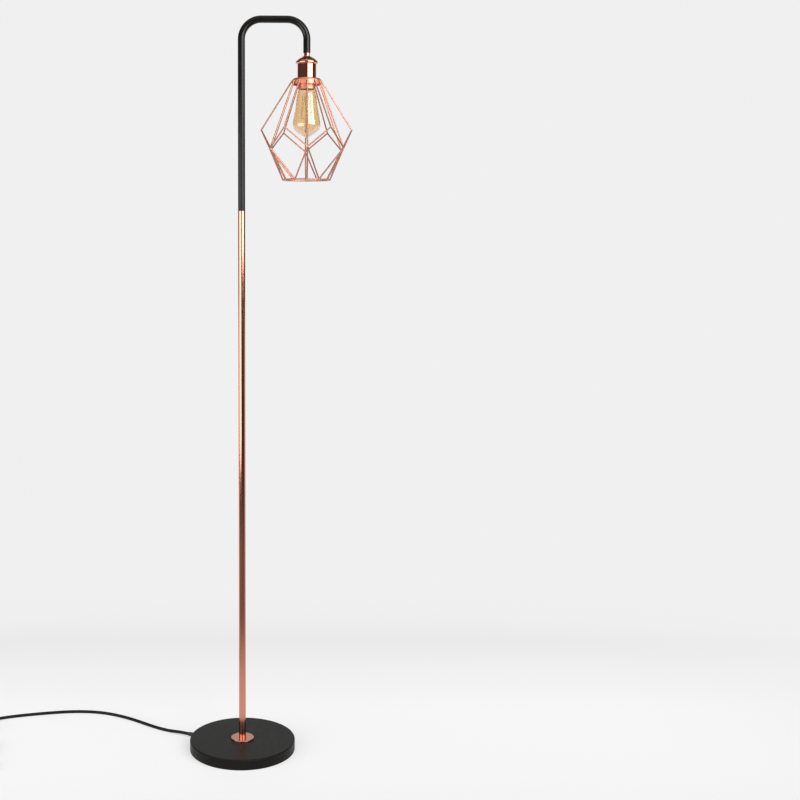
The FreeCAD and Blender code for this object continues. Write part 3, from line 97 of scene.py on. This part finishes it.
class Shader:
    """A small helper that builds one node material."""

    def __init__(self, name, **values):
        self.material = bpy.data.materials.new(name)
        self.material.use_nodes = True
        self.tree = self.material.node_tree
        self.nodes = self.tree.nodes
        self.principled = self.nodes["Principled BSDF"]
        self.output = self.nodes["Material Output"]
        for key, value in values.items():
            self.principled.inputs[key.replace("_", " ")].default_value = value

    def add(self, kind, **settings):
        """A node with its sockets and settings filled in."""
        node = self.nodes.new(kind)
        for key, value in settings.items():
            if key in node.inputs:
                node.inputs[key].default_value = value
            else:
                setattr(node, key, value)
        return node

    def link(self, source, target):
        self.tree.links.new(source, target)

    def position(self, stretch=(1, 1, 1)):
        """Object coordinates, stretched."""
        coordinates = self.add("ShaderNodeTexCoord")
        mapping = self.add("ShaderNodeMapping")
        mapping.inputs["Scale"].default_value = stretch
        self.link(coordinates.outputs["Object"], mapping.inputs["Vector"])
        return mapping.outputs["Vector"]

    def noise(self, scale, detail=3.0, stretch=(1, 1, 1)):
        node = self.add("ShaderNodeTexNoise", Scale=scale, Detail=detail, Roughness=NOISE_ROUGHNESS)
        self.link(self.position(stretch), node.inputs["Vector"])
        return node.outputs["Fac"]

    def spread(self, source, low, high, start=NOISE_LOW, end=NOISE_HIGH):
        """Maps a number between start and end to a number between low and high."""
        node = self.add("ShaderNodeMapRange")
        node.inputs["From Min"].default_value = start
        node.inputs["From Max"].default_value = end
        node.inputs["To Min"].default_value = low
        node.inputs["To Max"].default_value = high
        self.link(source, node.inputs["Value"])
        return node.outputs["Result"]

    def smooth_step(self, source, start, end):
        """Maps a number to 0 at start and 1 at end, smoothly between them."""
        node = self.add("ShaderNodeMapRange", interpolation_type="SMOOTHSTEP")
        node.inputs["From Min"].default_value = start
        node.inputs["From Max"].default_value = end
        self.link(source, node.inputs["Value"])
        return node.outputs["Result"]

    def combine(self, operation, first, second):
        """A Math node of two values, each of them a source or a number."""
        node = self.add("ShaderNodeMath", operation=operation)
        for socket, value in zip(node.inputs, (first, second)):
            if isinstance(value, (int, float)):
                socket.default_value = value
            else:
                self.link(value, socket)
        return node.outputs["Value"]

    def ramp(self, source, stops):
        """Maps a number from 0 to 1 to a row of colours, given as (place, colour)."""
        node = self.add("ShaderNodeValToRGB")
        elements = node.color_ramp.elements
        while len(elements) < len(stops):
            elements.new(0.5)
        for element, (place, tone) in zip(elements, stops):
            element.position = place
            element.color = (*tone, 1)
        self.link(source, node.inputs["Fac"])
        return node.outputs["Color"]

    def tones(self, source, pair):
        """Maps a noise to the range between two colours."""
        first, second = pair
        return self.ramp(source, ((NOISE_LOW, first), (NOISE_HIGH, second)))

    def mix(self, share, first, second):
        """A Mix Shader node: the first shader where the share is 0, the second where it is 1."""
        node = self.add("ShaderNodeMixShader")
        self.link(share, node.inputs["Fac"])
        self.link(first, node.inputs[1])
        self.link(second, node.inputs[2])
        return node.outputs["Shader"]

    def sees_background(self, mirrored):
        """1 for the camera's rays and those through glass, and the mirrored share for reflected rays."""
        path = self.add("ShaderNodeLightPath")
        direct = self.combine("MAXIMUM", path.outputs["Is Camera Ray"], path.outputs["Is Transmission Ray"])
        reflected = self.combine("MULTIPLY", path.outputs["Is Glossy Ray"], mirrored)
        return self.combine("MAXIMUM", direct, reflected)

    def color(self, source):
        self.link(source, self.principled.inputs["Base Color"])

    def roughness(self, source):
        self.link(source, self.principled.inputs["Roughness"])

    def bump(self, source, strength, distance):
        node = self.add("ShaderNodeBump", Strength=strength, Distance=distance)
        self.link(source, node.inputs["Height"])
        self.link(node.outputs["Normal"], self.principled.inputs["Normal"])


def copper(name, tones, roughness, stretch=(1, 1, 1)):
    """Copper plate: slight changes of tone and a little unevenness in its gloss."""
    shader = Shader(name, Metallic=1.0)
    shader.color(shader.tones(shader.noise(scale=9, detail=3, stretch=stretch), tones))
    shader.roughness(shader.spread(shader.noise(scale=60, detail=4, stretch=stretch), *roughness))
    return shader.material


def powder_coat(name, tones, roughness, specular, grain_scale, grain):
    """Black paint with a fine pebble grain."""
    shader = Shader(name, Specular_IOR_Level=specular)
    shader.color(shader.tones(shader.noise(scale=30, detail=4), tones))
    shader.roughness(shader.spread(shader.noise(scale=120, detail=3), *roughness))
    shader.bump(shader.noise(scale=grain_scale, detail=2), grain, GRAIN_DISTANCE)
    return shader.material


def plain(name, tones, roughness, metallic=0.0, specular=0.5, scale=40, grain_scale=0, grain=0.0):
    """A workshop material with two close tones, and a fine grain where one is given."""
    shader = Shader(name, Metallic=metallic, Specular_IOR_Level=specular)
    shader.color(shader.tones(shader.noise(scale=scale, detail=3), tones))
    shader.roughness(shader.spread(shader.noise(scale=2 * scale, detail=3), *roughness))
    if grain:
        shader.bump(shader.noise(scale=grain_scale, detail=2), grain, GRAIN_DISTANCE)
    return shader.material


# The bulb's tint from its tip to its neck, as (Z in metres, colour): amber glass, with a painted reflection
# of the pale floor in the paler tone at its tip.
AMBER_AND_REFLECTION_TONES = (
    (1.325, (0.98, 0.82, 0.66)),
    (1.362, (0.98, 0.80, 0.53)),
    (1.410, (0.98, 0.79, 0.515)),
    (1.445, (1.00, 0.93, 0.82)),
)


def amber_glass(name):
    """Thin amber glass, deepest in colour at the bulb's widest part, paler at its tip, where a painted
    reflection of the pale floor lies in the tint, and nearly clear at its neck.
    """
    shader = Shader(
        name,
        Roughness=0.08,
        IOR=1.45,
        Transmission_Weight=1.0,
        Coat_Weight=1.0,
        Coat_Roughness=0.14,
        Coat_IOR=1.85,
    )
    coordinates = shader.add("ShaderNodeTexCoord")
    split = shader.add("ShaderNodeSeparateXYZ")
    shader.link(coordinates.outputs["Object"], split.inputs["Vector"])
    tip, neck = AMBER_AND_REFLECTION_TONES[0][0], AMBER_AND_REFLECTION_TONES[-1][0]
    height = shader.spread(split.outputs["Z"], 0.0, 1.0, start=tip, end=neck)
    shader.color(shader.ramp(height, [((z - tip) / (neck - tip), tone) for z, tone in AMBER_AND_REFLECTION_TONES]))
    return shader.material


def clear_glass(name):
    shader = Shader(name, Roughness=0.02, IOR=1.45, Transmission_Weight=1.0)
    shader.color(shader.tones(shader.noise(scale=30), ((0.93, 0.93, 0.91), (0.96, 0.96, 0.95))))
    return shader.material


def grey(*levels):
    """Neutral tones, one for each level."""
    return tuple((level, level, level) for level in levels)


# The pole's unevenness is drawn out along it, as polishing leaves it.
POLE_STRETCH = (1, 1, 0.02)
COPPERS = {
    "copper_satin": dict(
        tones=((0.63, 0.26, 0.175), (0.69, 0.30, 0.205)), roughness=(0.12, 0.17), stretch=POLE_STRETCH
    ),
    "copper_brushed": dict(tones=((0.82, 0.31, 0.20), (0.88, 0.36, 0.24)), roughness=(0.42, 0.50)),
    # copper_flange is a darker copy of the copper: painted shade on the pole's flange.
    "copper_flange": dict(tones=((0.52, 0.22, 0.15), (0.58, 0.26, 0.18)), roughness=(0.24, 0.30)),
    "copper_mirror": dict(tones=((0.78, 0.31, 0.215), (0.84, 0.36, 0.25)), roughness=(0.05, 0.09)),
    "copper_wire": dict(tones=((0.64, 0.31, 0.215), (0.72, 0.38, 0.27)), roughness=(0.40, 0.46)),
}
POWDER_COATS = {
    "base_black": dict(
        tones=((0.0056, 0.0048, 0.0038), (0.0076, 0.0066, 0.0054)),
        roughness=(0.42, 0.47),
        specular=0.125,
        grain_scale=1500,
        grain=0.04,
    ),
    "arm_black": dict(
        tones=((0.0060, 0.0050, 0.0045), (0.0080, 0.0070, 0.0062)),
        roughness=(0.19, 0.24),
        specular=0.27,
        grain_scale=900,
        grain=0.010,
    ),
}
METALS = {
    "cast_iron": dict(
        tones=((0.05, 0.05, 0.05), (0.09, 0.085, 0.08)),
        roughness=(0.6, 0.8),
        metallic=0.6,
        scale=60,
        grain_scale=700,
        grain=0.5,
    ),
    "zinc_steel": dict(
        tones=((0.50, 0.50, 0.49), (0.60, 0.59, 0.57)), roughness=(0.28, 0.4), metallic=1.0, scale=80
    ),
    "brass_plain": dict(
        tones=((0.60, 0.42, 0.17), (0.68, 0.50, 0.22)), roughness=(0.2, 0.3), metallic=1.0, scale=60
    ),
    "bulb_cap_metal": dict(
        tones=((0.66, 0.50, 0.24), (0.72, 0.57, 0.30)), roughness=(0.2, 0.3), metallic=1.0, scale=60
    ),
    "bulb_contact": dict(tones=grey(0.50, 0.58), roughness=(0.3, 0.45), metallic=1.0),
    "support_wire": dict(
        tones=((0.74, 0.70, 0.62), (0.80, 0.76, 0.68)), roughness=(0.35, 0.45), metallic=1.0
    ),
    "filament": dict(tones=((0.66, 0.58, 0.48), (0.74, 0.66, 0.55)), roughness=(0.5, 0.6), metallic=0.3),
    "spring_steel": dict(tones=grey(0.48, 0.56), roughness=(0.25, 0.35), metallic=1.0),
    "pin_metal": dict(tones=((0.62, 0.58, 0.48), (0.70, 0.66, 0.56)), roughness=(0.16, 0.24), metallic=1.0),
}
PLASTICS_AND_CERAMICS = {
    "foam_pad": dict(
        tones=grey(0.018, 0.03), roughness=(0.85, 0.95), scale=90, grain_scale=1500, grain=0.6
    ),
    "ceramic": dict(tones=((0.76, 0.75, 0.71), (0.82, 0.81, 0.77)), roughness=(0.2, 0.3), scale=30),
    "bulb_insulator": dict(tones=((0.015, 0.015, 0.018), (0.025, 0.025, 0.03)), roughness=(0.1, 0.2)),
    "cord_black": dict(
        tones=grey(0.003, 0.005), roughness=(0.42, 0.52), specular=0.2, scale=60, grain_scale=1200, grain=0.05
    ),
    "flex_inner": dict(tones=grey(0.02, 0.03), roughness=(0.4, 0.5)),
    "core_insulation": dict(tones=((0.19, 0.07, 0.02), (0.25, 0.10, 0.03)), roughness=(0.35, 0.45)),
    "relief_black": dict(
        tones=grey(0.010, 0.016), roughness=(0.5, 0.6), scale=60, grain_scale=1500, grain=0.2
    ),
    "switch_black": dict(tones=grey(0.011, 0.016), roughness=(0.34, 0.44), grain_scale=1600, grain=0.25),
    "button_black": dict(tones=grey(0.013, 0.018), roughness=(0.22, 0.3)),
    "switch_block": dict(tones=((0.40, 0.38, 0.35), (0.48, 0.46, 0.43)), roughness=(0.4, 0.5)),
    "tie_black": dict(
        tones=grey(0.012, 0.02), roughness=(0.55, 0.65), scale=60, grain_scale=1500, grain=0.3
    ),
    "plug_black": dict(tones=grey(0.011, 0.016), roughness=(0.36, 0.46), grain_scale=1600, grain=0.2),
}
MATERIALS = {
    **{name: powder_coat(name, **look) for name, look in POWDER_COATS.items()},
    **{name: copper(name, **look) for name, look in COPPERS.items()},
    **{name: plain(name, **look) for name, look in (METALS | PLASTICS_AND_CERAMICS).items()},
    "bulb_amber": amber_glass("amber_glass"),
    "bulb_clear": clear_glass("clear_glass"),
}


def dress(obj, material):
    """Gives a piece one of the materials, in place of what it had."""
    obj.data.materials.clear()
    obj.data.materials.append(MATERIALS[material])


def add_piece(obj, slot, *replaced):
    """Makes a new piece part of the lamp's standing body, in place of the nodes that it stands for."""
    dress(obj, slot)
    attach(obj, "lamp")
    if replaced:
        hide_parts(*replaced)
    return obj


for part in frame["record"]["subparts"]:
    dress(NODES[part["node"]], part["material_slot"])

# The cage's collar and what clamps it are duller than the lampholder's polished sleeve.
for name in ("cage_collar", "shade_ring", "holder_skirt"):
    dress(NODES[name], "copper_brushed")
# The pole's flange gets a darker copy of the copper, which paints shade onto it.
dress(NODES["pole_flange"], "copper_flange")

# ---- Helpers for new pieces ------------------------------------------------------------------------
ROUNDING_STEPS = 5
STEPS_PER_POINT = 8


def round_curve(name, points, diameter):
    """One smooth round line that its points steer."""
    curve = bpy.data.curves.new(name, "CURVE")
    curve.dimensions = "3D"
    curve.bevel_depth = diameter / 2
    curve.bevel_resolution = ROUNDING_STEPS
    curve.use_fill_caps = True
    spline = curve.splines.new("NURBS")
    spline.points.add(len(points) - 1)
    for place, point in zip(spline.points, points):
        place.co = (*point, 1)
    spline.order_u = 3
    spline.use_endpoint_u = True
    spline.resolution_u = STEPS_PER_POINT
    return add_object(name, curve)


def toward(degrees, reach=1.0):
    """A level step of some reach, at an angle from +X."""
    angle = math.radians(degrees)
    return Vector((math.cos(angle), math.sin(angle), 0)) * reach


def up(height):
    return Vector((0, 0, height))


# ---- Spring of the foot switch ---------------------------------------------------------------------
SPRING_WIRE_DIA = 0.001
SPRING_MEAN_RADIUS = 0.006
SPRING_TURNS = 4
SPRING_POINTS_PER_TURN = 16


def switch_spring():
    """The button's open spring, as a mesh of its own in place of the CAD spring."""
    lowest, highest = (Vector(corner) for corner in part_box("button_spring"))
    height = highest.z - lowest.z
    centre = (lowest + highest) / 2
    foot = Vector((centre.x, centre.y, lowest.z + SPRING_WIRE_DIA / 2))
    steps = SPRING_TURNS * SPRING_POINTS_PER_TURN
    climb = (height - SPRING_WIRE_DIA) / steps
    points = [
        foot + toward(360 * step / SPRING_POINTS_PER_TURN, SPRING_MEAN_RADIUS) + up(climb * step)
        for step in range(steps + 1)
    ]
    curve = round_curve("spring_line", points, SPRING_WIRE_DIA)
    evaluated = curve.evaluated_get(bpy.context.evaluated_depsgraph_get())
    obj = add_object("switch_spring", bpy.data.meshes.new_from_object(evaluated))
    bpy.data.objects.remove(curve)
    add_piece(obj, "spring_steel", "button_spring")
    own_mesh(obj)
    return obj


spring = switch_spring()

# ---- Cord ------------------------------------------------------------------------------------------
# The cord's places are steps on the floor from EXIT_FLOOR, below the outer end of the base's strain
# relief. A straight stretch lies before or after each thing that it goes into.
CORD_DIA = 0.007
EXIT_ALONG = toward(153)
EXIT_FROM_POLE = 0.137
EXIT_HEIGHT = 0.0065
EXIT_FLOOR = EXIT_ALONG * EXIT_FROM_POLE
EXIT = EXIT_FLOOR + up(EXIT_HEIGHT)
EXIT_STRAIGHT = 0.024
IN_RELIEF = 0.022
SWITCH_ALONG = toward(250)
SWITCH_CENTRE = EXIT_FLOOR + Vector((-0.481, 0.018, 0))
SWITCH_CORD_HEIGHT = 0.0074
SWITCH_REACH = 0.041
SWITCH_STRAIGHT_IN = 0.023
SWITCH_STRAIGHT_OUT = 0.018
IN_SWITCH = 0.014
COIL_CENTRE = EXIT_FLOOR + Vector((-0.464, -0.084, 0))
COIL_OUTER_RADIUS = 0.047
COIL_TURNS = 5
COIL_PITCH = 0.0076
COIL_HEIGHT = 0.0048
COIL_STRAIGHT = 0.019
COIL_POINTS_PER_TURN = 16
# The coil climbs to its second layer in the middle of its line, from this many turns before to after.
COIL_CLIMB = 0.25
PLUG_FACE = COIL_CENTRE + Vector((0.0545, -0.077, 0))
PLUG_CORD_HEIGHT = 0.0069
PLUG_LENGTH = 0.033
PLUG_RELIEF_LENGTH = 0.018
PLUG_STRAIGHT = 0.021


def coil_place(turn):
    """A point that steers the coil: it spirals in on the floor and out again one layer higher."""
    middle = COIL_TURNS / 2
    offset = turn - middle
    innermost = COIL_OUTER_RADIUS - COIL_PITCH * middle
    if abs(offset) < COIL_CLIMB:
        radius = innermost + COIL_PITCH * (offset * offset / (2 * COIL_CLIMB) + COIL_CLIMB / 2)
        climb = 0.5 + 0.5 * math.sin(math.pi / 2 * offset / COIL_CLIMB)
    else:
        radius = innermost + COIL_PITCH * abs(offset)
        climb = 1.0 if offset > 0 else 0.0
    # A control point lies outside the curve that it steers by this much.
    radius /= math.cos(math.pi / COIL_POINTS_PER_TURN) ** 0.5
    return COIL_CENTRE + toward(180 + 360 * turn, radius) + up(COIL_HEIGHT + COIL_PITCH * climb)


def run_route():
    """From the base's strain relief to the foot switch."""
    lying = CORD_DIA / 2
    entry = SWITCH_CENTRE - SWITCH_ALONG * SWITCH_REACH + up(SWITCH_CORD_HEIGHT)
    curve_on_floor = [
        (-0.048, 0.025, lying),
        (-0.083, 0.047, lying),
        (-0.147, 0.100, lying),
        (-0.211, 0.133, lying),
        (-0.275, 0.140, lying),
        (-0.337, 0.131, lying),
        (-0.402, 0.115, lying),
        (-0.443, 0.101, lying),
    ]
    return [
        EXIT - EXIT_ALONG * IN_RELIEF,
        EXIT,
        EXIT + EXIT_ALONG * EXIT_STRAIGHT,
        *(EXIT_FLOOR + Vector(step) for step in curve_on_floor),
        entry - SWITCH_ALONG * SWITCH_STRAIGHT_IN,
        entry,
        entry + SWITCH_ALONG * IN_SWITCH,
    ]


def tail_route():
    """From the foot switch through the tied coil to the plug."""
    leaving = SWITCH_CENTRE + SWITCH_ALONG * SWITCH_REACH + up(SWITCH_CORD_HEIGHT)
    coil_first = COIL_CENTRE + Vector((-COIL_OUTER_RADIUS, 0, COIL_HEIGHT))
    coil_start = coil_first + Vector((0, CORD_DIA, 0))
    coil_end = coil_first + Vector((0, -CORD_DIA, COIL_PITCH))
    turns = [(step + 0.5) / COIL_POINTS_PER_TURN for step in range(COIL_TURNS * COIL_POINTS_PER_TURN)]
    plug_entry = PLUG_FACE + Vector((-PLUG_LENGTH - PLUG_RELIEF_LENGTH, 0, PLUG_CORD_HEIGHT))
    return [
        leaving - SWITCH_ALONG * IN_SWITCH,
        leaving,
        leaving + SWITCH_ALONG * SWITCH_STRAIGHT_OUT,
        coil_start + Vector((0, COIL_STRAIGHT, 0)),
        coil_start,
        *(coil_place(turn) for turn in turns),
        coil_end,
        coil_end + Vector((0, -COIL_STRAIGHT, 0)),
        coil_end + Vector((0, -0.0407, -0.0032)),
        coil_end + Vector((0.0107, -0.0593, -0.0052)),
        plug_entry + Vector((-PLUG_STRAIGHT, 0, 0)),
        plug_entry,
    ]


run_points = run_route()
tail_points = tail_route()
cord_run = add_piece(round_curve("cord_run", run_points, CORD_DIA), "cord_black", "lead_run")
cord_tail = add_piece(
    round_curve("cord_tail", tail_points, CORD_DIA), "cord_black", "lead_middle", "lead_coil", "lead_tail"
)

# ---- Welds of the cage -----------------------------------------------------------------------------
ARM_REACH = 0.136
HEAD = Vector((ARM_REACH, 0, 0))
COLLAR_TOP = 1.4477
WIRE_RADIUS = 0.00155
CAGE_SIDES = 6
FIRST_SIDE = -90
HALF_SIDE = 180 / CAGE_SIDES
# Where wires meet, as (radius from the cage's axis, drop below the collar's top).
WAIST_LOW = (0.0870, 0.1457)
WAIST_HIGH = (0.0945, 0.1062)
RING = (0.0495, 0.2093)
SPOKE_ROOT = (0.0309, 0.0058)
# One side's joints, as (place, degrees past the side's own plane, bead's radius in wire radii).
CAGE_JOINTS = (
    (WAIST_LOW, 0, 1.16),
    (WAIST_HIGH, HALF_SIDE, 1.06),
    (RING, 0, 1.22),
    (RING, HALF_SIDE, 1.28),
    (SPOKE_ROOT, 0, 1.25),
    (SPOKE_ROOT, HALF_SIDE, 1.25),
)


def cage_welds():
    """Small smooth beads where the wires meet each other, the collar and the bottom ring."""
    mesh = bmesh.new()
    for side in range(CAGE_SIDES):
        plane = FIRST_SIDE + side * 2 * HALF_SIDE
        for (radius, drop), past, size in CAGE_JOINTS:
            place = HEAD + toward(plane + past, radius) + up(COLLAR_TOP - drop)
            made = bmesh.ops.create_icosphere(mesh, subdivisions=3, radius=WIRE_RADIUS * size)
            bmesh.ops.translate(mesh, verts=made["verts"], vec=place)
    for face in mesh.faces:
        face.smooth = True
    data = bpy.data.meshes.new("cage_welds")
    mesh.to_mesh(data)
    mesh.free()
    return add_object("cage_welds", data)


add_piece(cage_welds(), "copper_wire")

# ---- Stage -----------------------------------------------------------------------------------------
STAGE_HALF = 12.0
WALL_TONE = (0.871, 0.871, 0.880)
# The floor's tone from in front of the lamp to behind it, as (Y in metres, share of full white): painted
# light, brightest just behind the lamp and darker towards the front, and painted shade in a darker band where
# the floor meets the wall.
FLOOR_TONES = (
    (-0.35, 0.830),
    (-0.10, 0.882),
    (0.22, 0.925),
    (0.48, 0.900),
    (0.71, 0.823),
    (0.89, 0.855),
    (1.15, 0.871),
)
FLOOR_BLUE = 1.008
# Near the lamp half of the paper's tone is lit, so that it keeps a soft shadow, and half glows by itself.
LIT_HALF = (0.5, 0.5, 0.5)
PAPER_GLOW = 1.10
# Each pair is where a share begins and where it is whole, in metres from the pole or along Y.
PLAIN_BEHIND = (0.35, 0.80)
PLAIN_AROUND = (0.8, 2.0)
STUDIO_AROUND = (0.0, 1.0)
STUDIO_BEFORE = (0.4, -0.2)
STUDIO_PALE = (0.80, 0.80, 0.80)
STUDIO_DARK = (0.19, 0.175, 0.165)


def half_lit(shader, tone):
    """A tone that takes half of its level from the lights and gives the other half itself."""
    half = shader.add("ShaderNodeMixRGB", blend_type="MULTIPLY", Fac=1.0, Color2=(*LIT_HALF, 1))
    shader.link(tone, half.inputs["Color1"])
    lit = shader.add("ShaderNodeBsdfDiffuse")
    shader.link(half.outputs["Color"], lit.inputs["Color"])
    glow = shader.add("ShaderNodeEmission", Strength=PAPER_GLOW)
    shader.link(half.outputs["Color"], glow.inputs["Color"])
    both = shader.add("ShaderNodeAddShader")
    shader.link(lit.outputs["BSDF"], both.inputs[0])
    shader.link(glow.outputs["Emission"], both.inputs[1])
    return both.outputs["Shader"]


def paper_floor():
    """Pale paper with the lamp's shadow and with painted light and shade along Y, which turns into the plain
    wall tone further out.

    Only what is seen is paper. Scattered light meets a studio floor in its place, and so do reflections in
    front of the lamp, where that floor is dark.
    """
    shader = Shader("paper_floor")
    shader.nodes.remove(shader.principled)
    place = shader.add("ShaderNodeTexCoord").outputs["Object"]
    split = shader.add("ShaderNodeSeparateXYZ")
    shader.link(place, split.inputs["Vector"])
    length = shader.add("ShaderNodeVectorMath", operation="LENGTH")
    shader.link(place, length.inputs[0])
    around = length.outputs["Value"]
    along = split.outputs["Y"]

    plain_around = shader.smooth_step(around, *PLAIN_AROUND)
    plain_share = shader.combine("MAXIMUM", shader.smooth_step(along, *PLAIN_BEHIND), plain_around)
    # The tone along Y is painted light near the lamp and painted shade where the floor meets the wall.
    front, back = FLOOR_TONES[0][0], FLOOR_TONES[-1][0]
    depth = shader.spread(along, 0.0, 1.0, start=front, end=back)
    stops = [((y - front) / (back - front), (share, share, share * FLOOR_BLUE)) for y, share in FLOOR_TONES]
    tone = shader.add("ShaderNodeMixRGB", Color2=(*WALL_TONE, 1))
    shader.link(plain_around, tone.inputs["Fac"])
    shader.link(shader.ramp(depth, stops), tone.inputs["Color1"])
    plain_paper = shader.add("ShaderNodeEmission")
    shader.link(tone.outputs["Color"], plain_paper.inputs["Color"])
    lamp_side = half_lit(shader, tone.outputs["Color"])
    paper = shader.mix(plain_share, lamp_side, plain_paper.outputs["Emission"])

    studio_around = shader.smooth_step(around, *STUDIO_AROUND)
    bare = shader.combine("MULTIPLY", studio_around, shader.smooth_step(along, *STUDIO_BEFORE))
    studio = shader.add("ShaderNodeBsdfDiffuse")
    shader.link(shader.ramp(bare, ((0.0, STUDIO_PALE), (1.0, STUDIO_DARK))), studio.inputs["Color"])

    paper_share = shader.sees_background(mirrored=shader.combine("SUBTRACT", 1.0, bare))
    surface = shader.mix(paper_share, studio.outputs["BSDF"], paper)
    shader.link(surface, shader.output.inputs["Surface"])
    return shader.material


def add_floor():
    corners = [(x * STAGE_HALF, y * STAGE_HALF, 0) for x, y in ((-1, -1), (1, -1), (1, 1), (-1, 1))]
    data = bpy.data.meshes.new("floor")
    data.from_pydata(corners, [], [(0, 1, 2, 3)])
    data.materials.append(paper_floor())
    add_object("floor", data)


add_floor()

# ---- Light -----------------------------------------------------------------------------------------
LIGHTS_AROUND_X = 0.07
# What the metal is lit by and mirrors, by the direction's share along an axis: each pair is where it
# begins and where it is whole.
WALL_ALONG_Y = (0.72, 0.90)
CEILING_ALONG_Z = (0.66, 0.80)
CEILING_ALONG_Y = (0.25, 0.05)
ROOM_DARK = (0.085, 0.082, 0.080)
ROOM_PALE = (1.0, 1.0, 1.0)


def softbox(name, azimuth, distance, width, bottom, top, radiance):
    """A flat upright light that the camera doesn't see. Azimuth 0 is the camera's side, + is right."""
    angle = math.radians(azimuth)
    data = bpy.data.lights.new(name, "AREA")
    data.shape = "RECTANGLE"
    data.size = width
    data.size_y = top - bottom
    data.energy = radiance * math.pi * width * (top - bottom)
    obj = add_object(name, data)
    obj.location = (
        LIGHTS_AROUND_X + distance * math.sin(angle), -distance * math.cos(angle), (top + bottom) / 2
    )
    obj.rotation_euler = (math.radians(90), 0, angle)
    obj.visible_camera = False
    obj.visible_transmission = False


softbox("softbox_right", azimuth=42, distance=2.4, width=2.7, bottom=1.0, top=3.1, radiance=5.0)
softbox("softbox_left", azimuth=-50, distance=2.0, width=2.3, bottom=0.25, top=1.5, radiance=3.4)


class WorldShader(Shader):
    """The same helper for the world's nodes."""

    def __init__(self, world):
        world.use_nodes = True
        self.tree = world.node_tree
        self.nodes = self.tree.nodes
        for node in list(self.nodes):
            self.nodes.remove(node)
        self.output = self.nodes.new("ShaderNodeOutputWorld")


def studio_room():
    """A dim studio with a pale wall behind the lamp and a pale ceiling above and before it."""
    world = bpy.data.worlds.new("world")
    bpy.context.scene.world = world
    sky = WorldShader(world)
    axes = sky.add("ShaderNodeSeparateXYZ")
    sky.link(sky.add("ShaderNodeTexCoord").outputs["Generated"], axes.inputs["Vector"])
    wall = sky.smooth_step(axes.outputs["Y"], *WALL_ALONG_Y)
    above = sky.smooth_step(axes.outputs["Z"], *CEILING_ALONG_Z)
    before = sky.smooth_step(axes.outputs["Y"], *CEILING_ALONG_Y)
    pale = sky.combine("MAXIMUM", wall, sky.combine("MULTIPLY", above, before))
    room = sky.add("ShaderNodeBackground")
    sky.link(sky.ramp(pale, ((0.0, ROOM_DARK), (1.0, ROOM_PALE))), room.inputs["Color"])
    backdrop = sky.add("ShaderNodeBackground", Color=(*WALL_TONE, 1))
    surface = sky.mix(
        sky.sees_background(mirrored=wall), room.outputs["Background"], backdrop.outputs["Background"]
    )
    sky.link(surface, sky.output.inputs["Surface"])


studio_room()

bpy.context.scene.view_settings.view_transform = "Standard"
